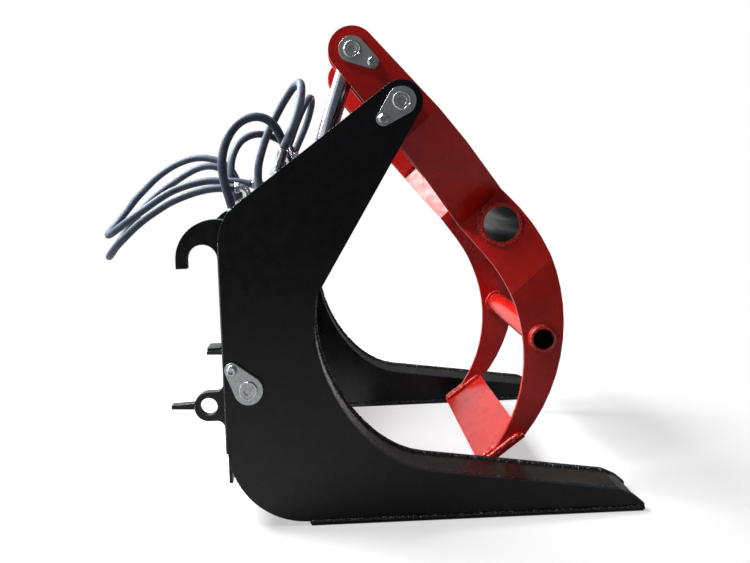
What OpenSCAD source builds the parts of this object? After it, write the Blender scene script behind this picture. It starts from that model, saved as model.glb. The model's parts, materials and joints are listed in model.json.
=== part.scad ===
// Log grapple: two box tines with arms, a folded plate clamp and two hydraulic cylinders.
// All lengths are in millimetres. +X points to the tine tips, +Y to the left side, +Z up.
// The origin lies on the floor under the middle of the machine's length and width.

/* [Frame] */
// Width over the two outer side plates
frame_w = 919; // [800:1:1100]
// Length from the rear edge of the side plates to the tine tips
frame_len = 912; // [870:1:1000]
// Width of one side box, over its two plates
box_w = 124; // [110:1:136]
// Thickness of the side plates
side_t = 10; // [6:1:14]
// Thickness of the strip that closes the throat
strip_t = 8; // [5:1:12]
// Depth of the strip below the plate edges, where its weld lies
strip_inset = 2; // [0:0.5:5]
// Thickness of the wear plates under the tines
wear_t = 8; // [5:1:14]
// Distance that the wear plates stand out beside the side plates, for their welds
wear_lip = 4; // [1:0.5:6]
// Distance from the rear edge to the start of the wear plates
wear_start = 178; // [150:1:300]
// Height of the chamfer under the tip of the wear plates
wear_chamfer = 5; // [1:1:5]
// Radius of the heel
heel_r = 171; // [120:1:190]
// Radius of the upper rear corner
rear_corner_r = 100; // [40:1:130]
// Thickness of the back plate
back_t = 8; // [5:1:14]
// Height of the lower edge of the back plate
back_low = 95; // [85:1:105]
// Width of the square cross tubes
tube_w = 70; // [60:1:76]
// Wall of the square cross tubes
tube_wall = 6; // [4:1:8]
// Depth of the upper cross tube under the top of the back plate
upper_tube_drop = 1; // [0:1:15]
// Height of the top of the lower cross tube
lower_tube_top = 190; // [180:1:200]

/* [Arms and throat] */
// Distance from the rear edge to the clamp pivot
pivot_back = 418; // [400:1:440]
// Height of the clamp pivot
pivot_h = 924; // [900:1:950]
// Radius of the arm end round the pivot
arm_r = 47.5; // [40:0.5:56]
// Slope of the rear edge of the arm, in degrees
arm_slope = 35.8; // [34:0.1:38]
// Distance from the rear edge to the corner under the arm
arm_corner_back = 210; // [204:1:220]
// Height of the corner under the arm
arm_corner_h = 499; // [480:1:520]
// Distance from the rear edge to the deepest line of the throat
throat_back = 204; // [195:1:208]
// Height at which the throat starts to curve
throat_h = 430; // [400:1:450]
// Distance from the rear edge to where the throat meets the tine
root_back = 440; // [420:1:460]
// Height of the tine where the throat meets it
root_h = 107; // [95:1:120]
// Length of the nose of a tine
nose_len = 50; // [40:1:90]
// Height of the tine at the start of its nose
nose_h = 47; // [44:1:56]
// Length of the bevel at the tine tip
bevel_len = 19; // [12:1:25]
// Height of the tine at the start of its bevel
bevel_h = 32; // [26:1:36]
// Height of the tine tip
tip_h = 15; // [12:1:20]

/* [Hitch] */
// Distance between the middles of the two hitch plates
hitch_gap = 534; // [500:1:560]
// Thickness of a hitch plate
hitch_t = 20; // [12:1:25]
// Reach of a hitch plate behind the rear edge
hitch_depth = 31; // [25:1:36]
// Distance of the hook's bar centre behind the rear edge
bar_back = 68; // [64:1:74]
// Height of the hook's bar centre
bar_h = 572; // [560:1:580]
// Radius of the hook's notch
notch_r = 37; // [30:1:38]
// Radius of the hook's outside
hook_r = 97; // [92:1:102]
// Distance of the centre of the hook's outside behind the rear edge
hook_back = 37; // [34:1:40]
// Depth of the hook's tip under the bar centre
hook_tip = 20; // [10:1:30]
// Distance from the bar centre down to the lock pin hole
eye_drop = 359; // [350:1:370]
// Radius of the lock pin hole
eye_hole_r = 21; // [15:0.5:24]
// Radius of the lower eye
eye_r = 36; // [32:1:40]
// Radius of the fillets between the eye and its plate
eye_fillet_r = 18; // [8:1:20]
// Reach of a guide horn beyond its eye
horn_len = 55.5; // [40:0.5:70]
// Height of a guide horn at its root
horn_h = 16; // [12:1:20]
// Distance from the bar centre down to the stop bars
stop_drop = 216; // [200:1:230]
// Height of a stop bar
stop_h = 9; // [6:1:14]
// Reach of a stop bar behind its hitch plate
stop_len = 32; // [20:1:40]
// Width of a stop bar
stop_w = 50; // [30:1:70]

/* [Clamp] */
// Gap between a clamp plate and its side box
clamp_gap = 8.5; // [4:0.5:12]
// Step inwards of each clamp plate at the shoulder, above the waist
shoulder_in = 39.875; // [30:0.125:45]
// Width over the clamp plates at the waist
waist_w = 335; // [320:1:360]
// Width over the clamp plates below the waist
lower_w = 499; // [480:1:520]
// Width over the clamp plates at the push plate
tip_w = 524; // [505:1:535]
// Thickness of the clamp plates
clamp_t = 10; // [8:1:12]
// Slope of the fold lines, in degrees
fold_slope = 39.5; // [36:0.5:43]
// Distance of the rod pin behind the pivot
rod_pin_back = 99; // [95:1:103]
// Height of the rod pin over the pivot
rod_pin_up = 138; // [134:1:142]
// Radius of the clamp end round the rod pin
lug_r = 57; // [52:1:60]
// Radius of the outer edge of the clamp
outer_arc_r = 455; // [445:1:465]
// Distance of the centre of the outer edge behind the pivot
outer_arc_back = 57; // [50:1:62]
// Depth of the centre of the outer edge under the pivot
outer_arc_drop = 525; // [515:1:535]
// Radius of the inner edge of the clamp
inner_arc_r = 388; // [382:1:394]
// Distance of the centre of the inner edge behind the pivot
inner_arc_back = 92; // [88:1:96]
// Depth of the centre of the inner edge under the pivot
inner_arc_drop = 612; // [605:1:618]
// Free gap between a clamp plate and its inner lug
clevis_gap = 48; // [46:1:50]
// Outer diameter of the waist tube
waist_tube_d = 101.6; // [88.9:0.1:108]
// Wall of the waist tube
waist_tube_wall = 6.3; // [4:0.1:8]
// Length of the waist tube
waist_tube_len = 438; // [430:1:460]
// Distance of the waist tube in front of the pivot
waist_tube_x = 262; // [256:1:266]
// Depth of the waist tube under the pivot
waist_tube_drop = 302; // [297:1:307]
// Outer diameter of the lower tube
lower_tube_d = 60.3; // [48.3:0.1:63.5]
// Wall of the lower tube
lower_tube_wall = 5; // [3:0.1:8]
// Distance that the lower tube stands out of each clamp plate
lower_tube_proud = 12; // [5:1:20]
// Distance of the lower tube in front of the pivot
lower_tube_x = 342; // [338:1:346]
// Depth of the lower tube under the pivot
lower_tube_drop = 586; // [576:1:596]
// Length of the push plate, across the machine
push_len = 543; // [535:1:560]
// Width of the push plate
push_w = 132; // [124:1:140]
// Thickness of the push plate
push_t = 10; // [6:1:14]
// Slope of the push plate, in degrees
push_slope = 35; // [32:1:38]
// Distance of the low edge of the push plate in front of the pivot
push_x = 171; // [166:1:176]
// Depth of the low edge of the push plate under the pivot
push_drop = 889; // [880:1:893]

/* [Pins] */
// Diameter of the pins
pin_d = 30; // [24:1:36]
// Running clearance round a pin, on the radius
pin_fit = 0.05; // [0.01:0.01:0.1]
// Radius of a pin flag at the pin
flag_big_r = 32; // [28:1:34]
// Radius of a pin flag at its bolt
flag_small_r = 16; // [14:1:17]
// Distance from a pin to its bolt
flag_len = 57; // [52:1:62]
// Thickness of the pin flags
flag_t = 8; // [5:1:8]
// Radius of the weld ring round a pin
weld_ring_r = 21; // [19:0.5:24]
// Height of the weld ring round a pin
weld_ring_h = 3; // [2:0.5:4]
// Thread diameter of the bolts
bolt_d = 12; // [10:1:14]
// Width across flats of the bolt heads
bolt_af = 19; // [17:1:22]
// Height of the bolt heads
bolt_head_h = 7.5; // [6:0.5:9]
// Outer diameter of the washers
washer_d = 24; // [23:1:28]
// Thickness of the washers
washer_t = 2.5; // [1.5:0.1:3]
// Outer diameter of the pivot bushes
bush_d = 40; // [38:1:44]
// Outer diameter of the clamp hubs
hub_d = 66; // [56:1:74]
// Outer diameter of the sleeves between the side plates
sleeve_d = 50; // [44:1:60]

/* [Cylinders] */
// Distance of the base pin from the rear edge
base_pin_back = 53; // [50:1:60]
// Height of the base pin
base_pin_h = 304; // [295:1:312]
// Outer diameter of the barrels
barrel_d = 73; // [70:1:78]
// Bore of the barrels
barrel_bore = 63; // [58:1:64]
// Distance from the base pin to the open end of a barrel
barrel_len = 527; // [515:1:535]
// Distance from the base pin to the bottom of the bore
bore_start = 45; // [42:1:60]
// Outer diameter of a base eye
base_eye_d = 60; // [54:1:66]
// Length of a base eye
base_eye_len = 68; // [60:1:70]
// Length of the gland inside the barrel
gland_in = 24; // [18:1:30]
// Length of the gland collar
gland_out = 8; // [6:1:14]
// Diameter of the piston rods
rod_d = 45; // [40:1:45]
// Thickness of the pistons
piston_t = 36; // [25:1:40]
// Distance from the gland to the piston when the clamp is closed
piston_back = 25; // [20:1:60]
// Outer diameter of the rod eyes
rod_eye_d = 78; // [72:1:84]
// Inner diameter of the rod eyes
rod_eye_bore = 59; // [57:0.5:60]
// Width of the rod eyes
rod_eye_w = 44; // [40:1:45]
// Thickness of the cylinder lugs
cyl_lug_t = 12; // [8:1:16]
// Radius of the cylinder lugs
cyl_lug_r = 38; // [34:1:44]
// Distance from the open end of a barrel back to its head port
head_port_in = 39; // [38:1:46]
// Outer diameter of the port bosses
port_d = 28; // [24:1:32]
// Outer diameter of the steel pipes
pipe_d = 16; // [12:1:18]

/* [Hoses] */
// Outer diameter of the hoses
hose_d = 21.5; // [18:0.5:23]
// Outer diameter of the hose ferrules
ferrule_d = 27; // [25:0.5:29]
// Length of the hose ferrules
ferrule_len = 56; // [45:1:60]
// Width across flats of the hose nuts
nut_af = 27; // [24:1:30]

/* [Hidden] */

// Colours
black_paint = "#17181a";
red_paint = "#a81c1e";
zinc = "#a9abab";
chrome = "#d7dade";
steel = "#6d6f72";
bronze = "#9a7a45";
hose_rubber = "#26282c";

// Fineness of round shapes
fine = 64;
arc_step = 5.5;
curve_steps = 14;

// One overrun for all cuts and one small fit between pieces that don't move on each other
over = 5;
fit = 0.1;
// Gap between pieces that move past each other
run_gap = 0.3;

// Places along the length: the rear edge lies so that the origin is in the middle of the length
horn_reach = bar_back + eye_r + horn_len;
x_rear = (horn_reach - frame_len) / 2;
x_tip = x_rear + frame_len;
pivot = [x_rear + pivot_back, pivot_h];
base_pin = [x_rear + base_pin_back, base_pin_h];
rod_pin = pivot + [-rod_pin_back, rod_pin_up];

// Places across the width, for the right side at negative Y
y_out = -frame_w / 2;
y_in = y_out + box_w;
y_clamp = y_in + clamp_gap;
clamp_w = -2 * y_clamp;
y_lug = y_clamp + clamp_t + clevis_gap;
y_lug_in = y_lug + clamp_t;
y_cyl = y_clamp + clamp_t + clevis_gap / 2;
y_cyl_lug = y_cyl + base_eye_len / 2 + clamp_t / 2;
pin_tail = 3;

// Reach of the clamp from the pivot, which the places of its folds share
clamp_reach = norm([push_x + push_w * cos(push_slope), push_drop - push_w * sin(push_slope)]);
fold_shares = [-0.45, 0.085, 0.208, 0.400, 0.538, 0.628, 1.10];
hip_share = 0.70;

// Direction of the cylinders, from the base pin to the rod pin
cyl_v = rod_pin - base_pin;
cyl_len = norm(cyl_v);
cyl_tilt = atan2(cyl_v[0], cyl_v[1]);

// Points on an arc from angle a0 to a1
function arc(c, r, a0, a1) =
    let (n = max(2, ceil(abs(a1 - a0) / arc_step)))
    [for (i = [0:n]) let (a = a0 + (a1 - a0) * i / n) c + r * [cos(a), sin(a)]];

// Points on a cubic curve, without its last point
function curve(p0, p1, p2, p3) =
    [for (i = [0:curve_steps - 1]) let (t = i / curve_steps, u = 1 - t)
        u * u * u * p0 + 3 * u * u * t * p1 + 3 * u * t * t * p2 + t * t * t * p3];

// Direction of a vector, in degrees
function heading(v) = atan2(v[1], v[0]);

// Left-hand unit normal of a vector
function left_of(v) = [-v[1], v[0]] / norm(v);

// A path moved sideways by d, mitred at its corners
function side_path(pts, d) =
    let (n = len(pts))
    [for (i = [0:n - 1])
        let (
            a = left_of(pts[max(i, 1)] - pts[max(i, 1) - 1]),
            b = left_of(pts[min(i, n - 2) + 1] - pts[min(i, n - 2)]),
            m = a + b
        ) pts[i] + m * (2 * d / (m * m))];

function mirrored(pts) = [for (p = pts) [p[0], -p[1], p[2]]];
function backwards(pts) = [for (i = [len(pts) - 1:-1:0]) pts[i]];

// Top line of a tine and the throat, from the tip to the corner under the arm
throat_top = [x_rear + throat_back, throat_h];
tine_root = [x_rear + root_back, root_h];
nose = [x_tip - nose_len, nose_h];
arm_corner = [x_rear + arm_corner_back, arm_corner_h];
throat_pull = 0.42 * (throat_h - root_h);
root_pull = 0.54 * (root_back - throat_back);
root_dir = (nose - tine_root) / norm(nose - tine_root);
throat_line = concat(
    [[x_tip - bevel_len, bevel_h], nose],
    curve(tine_root, tine_root - root_pull * root_dir, throat_top - [0, throat_pull], throat_top),
    [throat_top, arm_corner]
);

// Outline of a side plate
front_v = pivot - arm_corner;
front_a = heading(front_v) - asin(arm_r / norm(front_v)) - 90;
rear_a = 90 + arm_slope;
arm_back = pivot + arm_r * [cos(rear_a), sin(rear_a)];
rear_corner_h = arm_back[1] - (arm_back[0] - x_rear) * tan(arm_slope)
    - rear_corner_r * tan((90 - arm_slope) / 2);
side_outline = concat(
    arc([x_rear + heel_r, wear_t + heel_r], heel_r, 180, 270),
    [[x_tip, wear_t], [x_tip, tip_h]],
    throat_line,
    arc(pivot, arm_r, front_a, rear_a),
    arc([x_rear + rear_corner_r, rear_corner_h], rear_corner_r, rear_a, 180)
);

// Outline of the clamp, seen from the side
outer_c = pivot - [outer_arc_back, outer_arc_drop];
inner_c = pivot - [inner_arc_back, inner_arc_drop];
outer_a = heading(outer_c - rod_pin) + acos((lug_r - outer_arc_r) / norm(outer_c - rod_pin));
inner_a = heading(inner_c - rod_pin) + acos(-(lug_r + inner_arc_r) / norm(inner_c - rod_pin));
end_a = 52;
clamp_outline = concat(
    arc(rod_pin, lug_r, outer_a, inner_a + 180),
    arc(inner_c, inner_arc_r, inner_a, -end_a),
    arc(outer_c, outer_arc_r, -end_a, outer_a)
);
push_edge = pivot + [push_x, -push_drop];

// Half widths over the clamp plates at its folds
fold_half = [
    clamp_w / 2, clamp_w / 2, clamp_w / 2 - shoulder_in, waist_w / 2,
    waist_w / 2 + hip_share * (lower_w - waist_w) / 2, lower_w / 2, tip_w / 2
];
fold_line = [for (i = [0:len(fold_shares) - 1]) [fold_shares[i] * clamp_reach, -fold_half[i]]];
lug_end = (fold_shares[2] - 0.001) * clamp_reach;

// Places of the pipes and fittings on the upper cross tube
upper_tube_top = rear_corner_h - upper_tube_drop;
head_pipe_x = x_rear + back_t + 1.125 * pipe_d;
base_pipe_x = x_rear + back_t + tube_w - 0.75 * pipe_d;
tee_d = 1.4 * pipe_d;
pipe_h = upper_tube_top + tee_d / 2;
riser_h = pipe_h + 0.8 * tee_d;

// Points of the hoses, from the frame to the barrel or to the coupler, laid out for the places
// below of the rear edge, the top of the upper cross tube, the cylinders and the head ports
laid_rear = -376.25;
laid_top = 630.3;
laid_y = 293;
laid_port = [-161.7, 764.5];
head_points_right = [
    [-363, -294, 698], [-369, -294, 722], [-376, -293, 748], [-381, -293, 775], [-383, -293, 804],
    [-379, -293, 832], [-370, -293, 859], [-356, -293, 883], [-337, -292, 902], [-314, -289, 913],
    [-290, -285, 915], [-267, -279, 906], [-250, -271, 887], [-239, -263, 863], [-230, -257, 838]
];
head_points_left = [
    [-390, 61, 703], [-399, 60, 729], [-405, 60, 757], [-407, 62, 784], [-406, 68, 811],
    [-400, 77, 835], [-391, 89, 856], [-379, 105, 873], [-363, 123, 885], [-346, 143, 892],
    [-327, 165, 894], [-307, 188, 891], [-285, 212, 882], [-262, 234, 867], [-243, 249, 850],
    [-230, 257, 832]
];
base_points_right = [
    [-309, -95, 700], [-314, -95, 735], [-315, -95, 768], [-312, -96, 800], [-303, -96, 833],
    [-291, -96, 866], [-276, -96, 899], [-258, -98, 931], [-240, -104, 960], [-222, -118, 984],
    [-206, -139, 1001], [-194, -166, 1007], [-187, -195, 1001], [-185, -222, 982], [-188, -244, 954],
    [-196, -261, 922], [-207, -275, 890], [-220, -286, 860], [-232, -292, 834]
];
base_points_left = [
    [-300, 95, 704], [-288, 95, 732], [-276, 95, 760], [-264, 96, 789], [-252, 96, 818],
    [-241, 95, 847], [-229, 95, 878], [-217, 97, 908], [-205, 103, 937], [-193, 117, 963],
    [-182, 137, 984], [-174, 163, 996], [-169, 191, 998], [-168, 217, 989], [-172, 240, 969],
    [-181, 258, 942], [-193, 271, 913], [-207, 281, 884], [-220, 288, 858], [-231, 292, 834]
];
supply_points_right = [
    [-400, -60, 741], [-430, -60, 742], [-459, -60, 740], [-494, -60, 733], [-529, -60, 722],
    [-564, -60, 708], [-596, -60, 690], [-628, -60, 670], [-659, -59, 647], [-688, -53, 622],
    [-715, -38, 599], [-738, -15, 578], [-755, 15, 564], [-766, 49, 558], [-769, 81, 562],
    [-763, 109, 578], [-750, 130, 603], [-732, 145, 634], [-709, 155, 664], [-682, 161, 694],
    [-653, 163, 720], [-623, 164, 742], [-592, 162, 762], [-560, 160, 781], [-527, 158, 797],
    [-493, 155, 805], [-459, 153, 800], [-428, 151, 778], [-408, 150, 745], [-402, 150, 706]
];
supply_points_left = [
    [-348, 20, 749], [-386, 20, 756], [-426, 20, 760], [-467, 20, 762], [-506, 20, 757],
    [-542, 20, 748], [-577, 20, 735], [-610, 20, 717], [-643, 20, 696], [-677, 21, 674],
    [-710, 27, 653], [-741, 41, 633], [-766, 67, 620], [-782, 101, 616], [-788, 136, 622],
    [-781, 168, 638], [-766, 191, 660], [-745, 203, 687], [-720, 206, 717], [-691, 206, 745],
    [-661, 203, 772], [-629, 201, 795], [-594, 199, 814], [-557, 197, 827], [-521, 195, 832],
    [-483, 193, 827], [-447, 191, 812], [-420, 190, 785], [-405, 190, 748], [-402, 190, 706]
];

// The points moved with what the hoses are fixed to: the first with the frame, the last with the port
frame_shift = [x_rear - laid_rear, 0, upper_tube_top - laid_top];
head_port = barrel_len - head_port_in;
port_shift = [
    base_pin[0] + head_port * sin(cyl_tilt) - laid_port[0], 0, base_pin[1] + head_port * cos(cyl_tilt) - laid_port[1]
];
function laid(pts, end_shift, across) =
    let (n = len(pts) - 1)
    [for (i = [0:n]) [pts[i][0], across * pts[i][1], pts[i][2]] + ((n - i) * frame_shift + i * end_shift) / n];
head_route_right = laid(head_points_right, port_shift, -y_cyl / laid_y);
head_route_left = laid(head_points_left, port_shift, -y_cyl / laid_y);
base_route_right = laid(base_points_right, port_shift, -y_cyl / laid_y);
base_route_left = laid(base_points_left, port_shift, -y_cyl / laid_y);
supply_route_right = laid(supply_points_right, frame_shift, 1);
supply_route_left = laid(supply_points_left, frame_shift, 1);

// Turns a drawing in the XZ plane into a plate between the right-hand faces y0 and y0 + t
module xz_plate(y0, t) {
    translate([0, y0 + t, 0]) rotate([90, 0, 0]) linear_extrude(height = t) children();
}

// A cylinder along Y from y0 over length l, at point c of the XZ plane
module y_rod(c, r, y0, l) {
    translate([c[0], y0 + l, c[1]]) rotate([90, 0, 0]) cylinder(r = r, h = l, $fn = fine);
}

// A ring along Y
module y_tube(c, r, r_in, y0, l) {
    difference() {
        y_rod(c, r, y0, l);
        y_rod(c, r_in, y0 - over, l + 2 * over);
    }
}

// Draws what is made for the right side on the left
module left_side() {
    mirror([0, 1, 0]) children();
}

// Places a drawing along the right cylinder: its Z axis runs from the base pin to the rod pin
module along_cylinder() {
    translate([base_pin[0], y_cyl, base_pin[1]]) rotate([0, cyl_tilt, 0]) children();
}

// Side boxes
module side_plate() {
    difference() {
        children();
        y_rod(pivot, pin_d / 2 + pin_fit, y_out - over, frame_w / 2);
        y_rod(base_pin, pin_d / 2 + pin_fit, y_out - over, frame_w / 2);
    }
}

module side_plate_outer() {
    side_plate() difference() {
        xz_plate(y_out, side_t) polygon(side_outline);
        for (b = [pivot_bolt, base_bolt]) y_rod(b, bolt_d / 2 + pin_fit, y_out - over, side_t + 2 * over);
    }
}

module side_plate_inner() {
    side_plate() difference() {
        xz_plate(y_in - side_t, side_t) polygon(side_outline);
        translate([x_rear - over, y_in - side_t - over, 0]) cube([over + back_t, side_t + 2 * over, pivot_h]);
    }
}

module throat_strip() {
    outer = side_path(throat_line, strip_inset);
    inner = side_path(throat_line, strip_inset + strip_t);
    xz_plate(y_out + side_t, box_w - 2 * side_t) polygon(concat(outer, backwards(inner)));
}

module wear_plate() {
    xz_plate(y_out - wear_lip, box_w + 2 * wear_lip) polygon([
        [x_rear + wear_start, 0], [x_tip - wear_chamfer, 0], [x_tip, wear_chamfer],
        [x_tip, wear_t], [x_rear + wear_start, wear_t]
    ]);
}

module side_plate_outer_right() { color(black_paint) side_plate_outer(); }
module side_plate_outer_left() { color(black_paint) left_side() side_plate_outer(); }
module side_plate_inner_right() { color(black_paint) side_plate_inner(); }
module side_plate_inner_left() { color(black_paint) left_side() side_plate_inner(); }
module throat_strip_right() { color(black_paint) throat_strip(); }
module throat_strip_left() { color(black_paint) left_side() throat_strip(); }
module wear_plate_right() { color(black_paint) wear_plate(); }
module wear_plate_left() { color(black_paint) left_side() wear_plate(); }

// Back of the frame
module back_plate() {
    color(black_paint)
        translate([x_rear, y_out + side_t, back_low])
            cube([back_t, frame_w - 2 * side_t, rear_corner_h - back_low]);
}

module cross_tube(top) {
    color(black_paint)
        translate([x_rear + back_t, y_in, top - tube_w])
            difference() {
                cube([tube_w, -2 * y_in, tube_w]);
                translate([tube_wall, -over, tube_wall])
                    cube([tube_w - 2 * tube_wall, 2 * over - 2 * y_in, tube_w - 2 * tube_wall]);
            }
}

module upper_cross_tube() { cross_tube(upper_tube_top); }
module lower_cross_tube() { cross_tube(lower_tube_top); }

// Hitch plate with its hook above and its lock pin eye below
module hitch_plate() {
    hook_c = [x_rear - hook_back, bar_h + hook_tip - notch_r / 2];
    bar_c = [x_rear - bar_back, bar_h];
    eye_c = [x_rear - bar_back, bar_h - eye_drop];
    tip_x = x_rear - hook_back - hook_r;
    difference() {
        xz_plate(-(hitch_gap + hitch_t) / 2, hitch_t) difference() {
            union() {
                intersection() {
                    translate(hook_c) circle(r = hook_r, $fn = 2 * fine);
                    translate([tip_x, bar_h]) square([x_rear - tip_x, 2 * hook_r]);
                }
                translate([tip_x, bar_h - hook_tip]) square([x_rear - tip_x, hook_tip]);
                translate([x_rear - hitch_depth, back_low]) square([hitch_depth, bar_h - back_low]);
                translate(eye_c) circle(r = eye_r, $fn = fine);
                translate(eye_c - [0, eye_r]) square([bar_back - hitch_depth, 2 * eye_r]);
                for (side = [-1, 1]) difference() {
                    translate([x_rear - hitch_depth - eye_fillet_r, eye_c[1] - eye_r - (side < 0 ? eye_fillet_r : 0)])
                        square([eye_fillet_r, eye_r + eye_fillet_r + (side > 0 ? eye_r : 0)]);
                    translate([x_rear - hitch_depth - eye_fillet_r, eye_c[1] + side * (eye_r + eye_fillet_r)])
                        circle(r = eye_fillet_r, $fn = fine);
                }
            }
            translate(bar_c) circle(r = notch_r, $fn = fine);
            translate(bar_c - [notch_r, hook_tip + over]) square([2 * notch_r, hook_tip + over]);
        }
        y_rod(eye_c, eye_hole_r, -(hitch_gap + hitch_t) / 2 - over, hitch_t + 2 * over);
    }
}

module hitch_plate_right() { color(black_paint) hitch_plate(); }
module hitch_plate_left() { color(black_paint) left_side() hitch_plate(); }

module guide_horn() {
    root = x_rear - bar_back - eye_r + horn_h / 12;
    mid = bar_h - eye_drop + horn_h / 8;
    xz_plate(-(hitch_gap + hitch_t) / 2, hitch_t) difference() {
        polygon([
            [root, mid - horn_h / 2], [root, mid + horn_h / 2],
            [x_rear - horn_reach, mid + horn_h / 3], [x_rear - horn_reach, mid - horn_h / 3]
        ]);
        translate([x_rear - bar_back, bar_h - eye_drop]) circle(r = eye_r + fit, $fn = fine);
    }
}

module guide_horns() {
    color(black_paint) {
        guide_horn();
        left_side() guide_horn();
    }
}

module stop_bar() {
    translate([x_rear - hitch_depth - stop_len, -(hitch_gap + stop_w) / 2, bar_h - stop_drop - stop_h / 2])
        cube([stop_len, stop_w, stop_h]);
}

module stop_bars() {
    color(black_paint) {
        stop_bar();
        left_side() stop_bar();
    }
}

module cylinder_lug() {
    difference() {
        xz_plate(y_cyl_lug, cyl_lug_t) union() {
            translate(base_pin) circle(r = cyl_lug_r, $fn = fine);
            translate([x_rear + back_t, base_pin[1] - cyl_lug_r])
                square([base_pin_back - back_t, 2 * cyl_lug_r]);
        }
        y_rod(base_pin, pin_d / 2 + pin_fit, y_cyl_lug - over, cyl_lug_t + 2 * over);
    }
}

module cylinder_lugs() {
    color(black_paint) {
        cylinder_lug();
        left_side() cylinder_lug();
    }
}

module pin_sleeves() {
    color(steel)
        for (c = [pivot, base_pin]) {
            y_tube(c, sleeve_d / 2, pin_d / 2 + 5 * fit, y_out + side_t, box_w - 2 * side_t);
            left_side() y_tube(c, sleeve_d / 2, pin_d / 2 + 5 * fit, y_out + side_t, box_w - 2 * side_t);
        }
}

// Pins with their flags
pivot_flag_a = 222.4;
base_flag_a = 127.2;
rod_flag_a = -35.3;
pivot_bolt = pivot + flag_len * [cos(pivot_flag_a), sin(pivot_flag_a)];
base_bolt = base_pin + flag_len * [cos(base_flag_a), sin(base_flag_a)];
rod_bolt = rod_pin + flag_len * [cos(rod_flag_a), sin(rod_flag_a)];

// A pin from the face y0 inwards, with a flag outside that face
module flag_pin(c, a, y0, l) {
    tangent_a = acos((flag_big_r - flag_small_r) / flag_len);
    bolt_c = c + flag_len * [cos(a), sin(a)];
    difference() {
        union() {
            xz_plate(y0 - flag_t, flag_t) polygon(concat(
                arc(c, flag_big_r, a + tangent_a, a + 360 - tangent_a),
                arc(bolt_c, flag_small_r, a - tangent_a, a + tangent_a)
            ));
            y_rod(c, pin_d / 2, y0 - flag_t - weld_ring_h / 2, l + flag_t + weld_ring_h / 2);
            translate([c[0], y0 - flag_t, c[1]]) rotate([90, 0, 0])
                cylinder(r1 = weld_ring_r, r2 = weld_ring_r - weld_ring_h, h = weld_ring_h, $fn = fine);
        }
        y_rod(c, pin_d / 3, y0 - flag_t - weld_ring_h - over, over + weld_ring_h);
        y_rod(bolt_c, bolt_d / 2 + 5 * fit, y0 - flag_t - over, flag_t + 2 * over);
    }
}

// A bolt with its washer on a flag, seen from the right side
module flag_bolt(c, y0, depth) {
    y_tube(c, washer_d / 2, bolt_d / 2 + fit, y0 - flag_t - washer_t, washer_t);
    y_rod(c, bolt_d / 2, y0 - flag_t - washer_t, flag_t + washer_t + depth);
    translate([c[0], y0 - flag_t - washer_t, c[1]]) rotate([90, 0, 0])
        cylinder(d = bolt_af / cos(30), h = bolt_head_h, $fn = 6);
}

module pivot_pin() { flag_pin(pivot, pivot_flag_a, y_out, y_lug_in + pin_tail - y_out); }
module base_pin_part() { flag_pin(base_pin, base_flag_a, y_out, y_cyl_lug + cyl_lug_t + pin_tail - y_out); }
module rod_pin_part() { flag_pin(rod_pin, rod_flag_a, y_clamp, y_lug_in + pin_tail - y_clamp); }

module pivot_pin_right() { color(zinc) pivot_pin(); }
module pivot_pin_left() { color(zinc) left_side() pivot_pin(); }
module base_pin_right() { color(zinc) base_pin_part(); }
module base_pin_left() { color(zinc) left_side() base_pin_part(); }
module rod_pin_right() { color(zinc) rod_pin_part(); }
module rod_pin_left() { color(zinc) left_side() rod_pin_part(); }

module frame_pin_bolts() {
    color(zinc)
        for (c = [pivot_bolt, base_bolt]) {
            flag_bolt(c, y_out, side_t);
            left_side() flag_bolt(c, y_out, side_t);
        }
}

module clamp_pin_bolts() {
    color(zinc) {
        flag_bolt(rod_bolt, y_clamp, clamp_t);
        left_side() flag_bolt(rod_bolt, y_clamp, clamp_t);
    }
}

// Clamp plates: the side outline cut out of a sheet that is folded along slanting lines
module folded_sheet() {
    inner = side_path(fold_line, clamp_t);
    translate([pivot[0], 0, pivot[1]]) rotate([0, 90 - fold_slope, 0])
        linear_extrude(height = 3 * clamp_reach, center = true)
            polygon(concat(fold_line, backwards(inner)));
}

module below_push_plate() {
    translate([push_edge[0], -frame_w / 2, push_edge[1]]) rotate([0, -push_slope, 0])
        translate([-clamp_reach, 0, -clamp_reach]) cube([clamp_reach + push_w + fit, frame_w, clamp_reach]);
}

module clamp_plate() {
    waist_c = pivot + [waist_tube_x, -waist_tube_drop];
    lower_c = pivot + [lower_tube_x, -lower_tube_drop];
    difference() {
        intersection() {
            xz_plate(y_out, -y_out) polygon(clamp_outline);
            folded_sheet();
        }
        below_push_plate();
        y_rod(pivot, hub_d / 2 + fit, y_out, -y_out);
        y_rod(rod_pin, pin_d / 2 + pin_fit, y_out, -y_out);
        y_rod(rod_bolt, bolt_d / 2 + pin_fit, y_out, -y_out);
        y_rod(waist_c, waist_tube_d / 2 + fit, y_out, -y_out);
        y_rod(lower_c, lower_tube_d / 2 + fit, y_out, -y_out);
    }
}

module clamp_lug() {
    difference() {
        intersection() {
            xz_plate(y_lug, clamp_t) polygon(clamp_outline);
            translate([pivot[0], y_lug - over, pivot[1]]) rotate([0, 90 - fold_slope, 0])
                translate([-2 * clamp_reach, 0, -clamp_reach])
                    cube([2 * clamp_reach + lug_end, clamp_t + 2 * over, 2 * clamp_reach]);
        }
        y_rod(pivot, hub_d / 2 + fit, y_lug - over, clamp_t + 2 * over);
        y_rod(rod_pin, pin_d / 2 + pin_fit, y_lug - over, clamp_t + 2 * over);
    }
}

module clamp_plate_right() { color(red_paint) clamp_plate(); }
module clamp_plate_left() { color(red_paint) left_side() clamp_plate(); }
module clamp_lug_right() { color(red_paint) clamp_lug(); }
module clamp_lug_left() { color(red_paint) left_side() clamp_lug(); }

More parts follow.
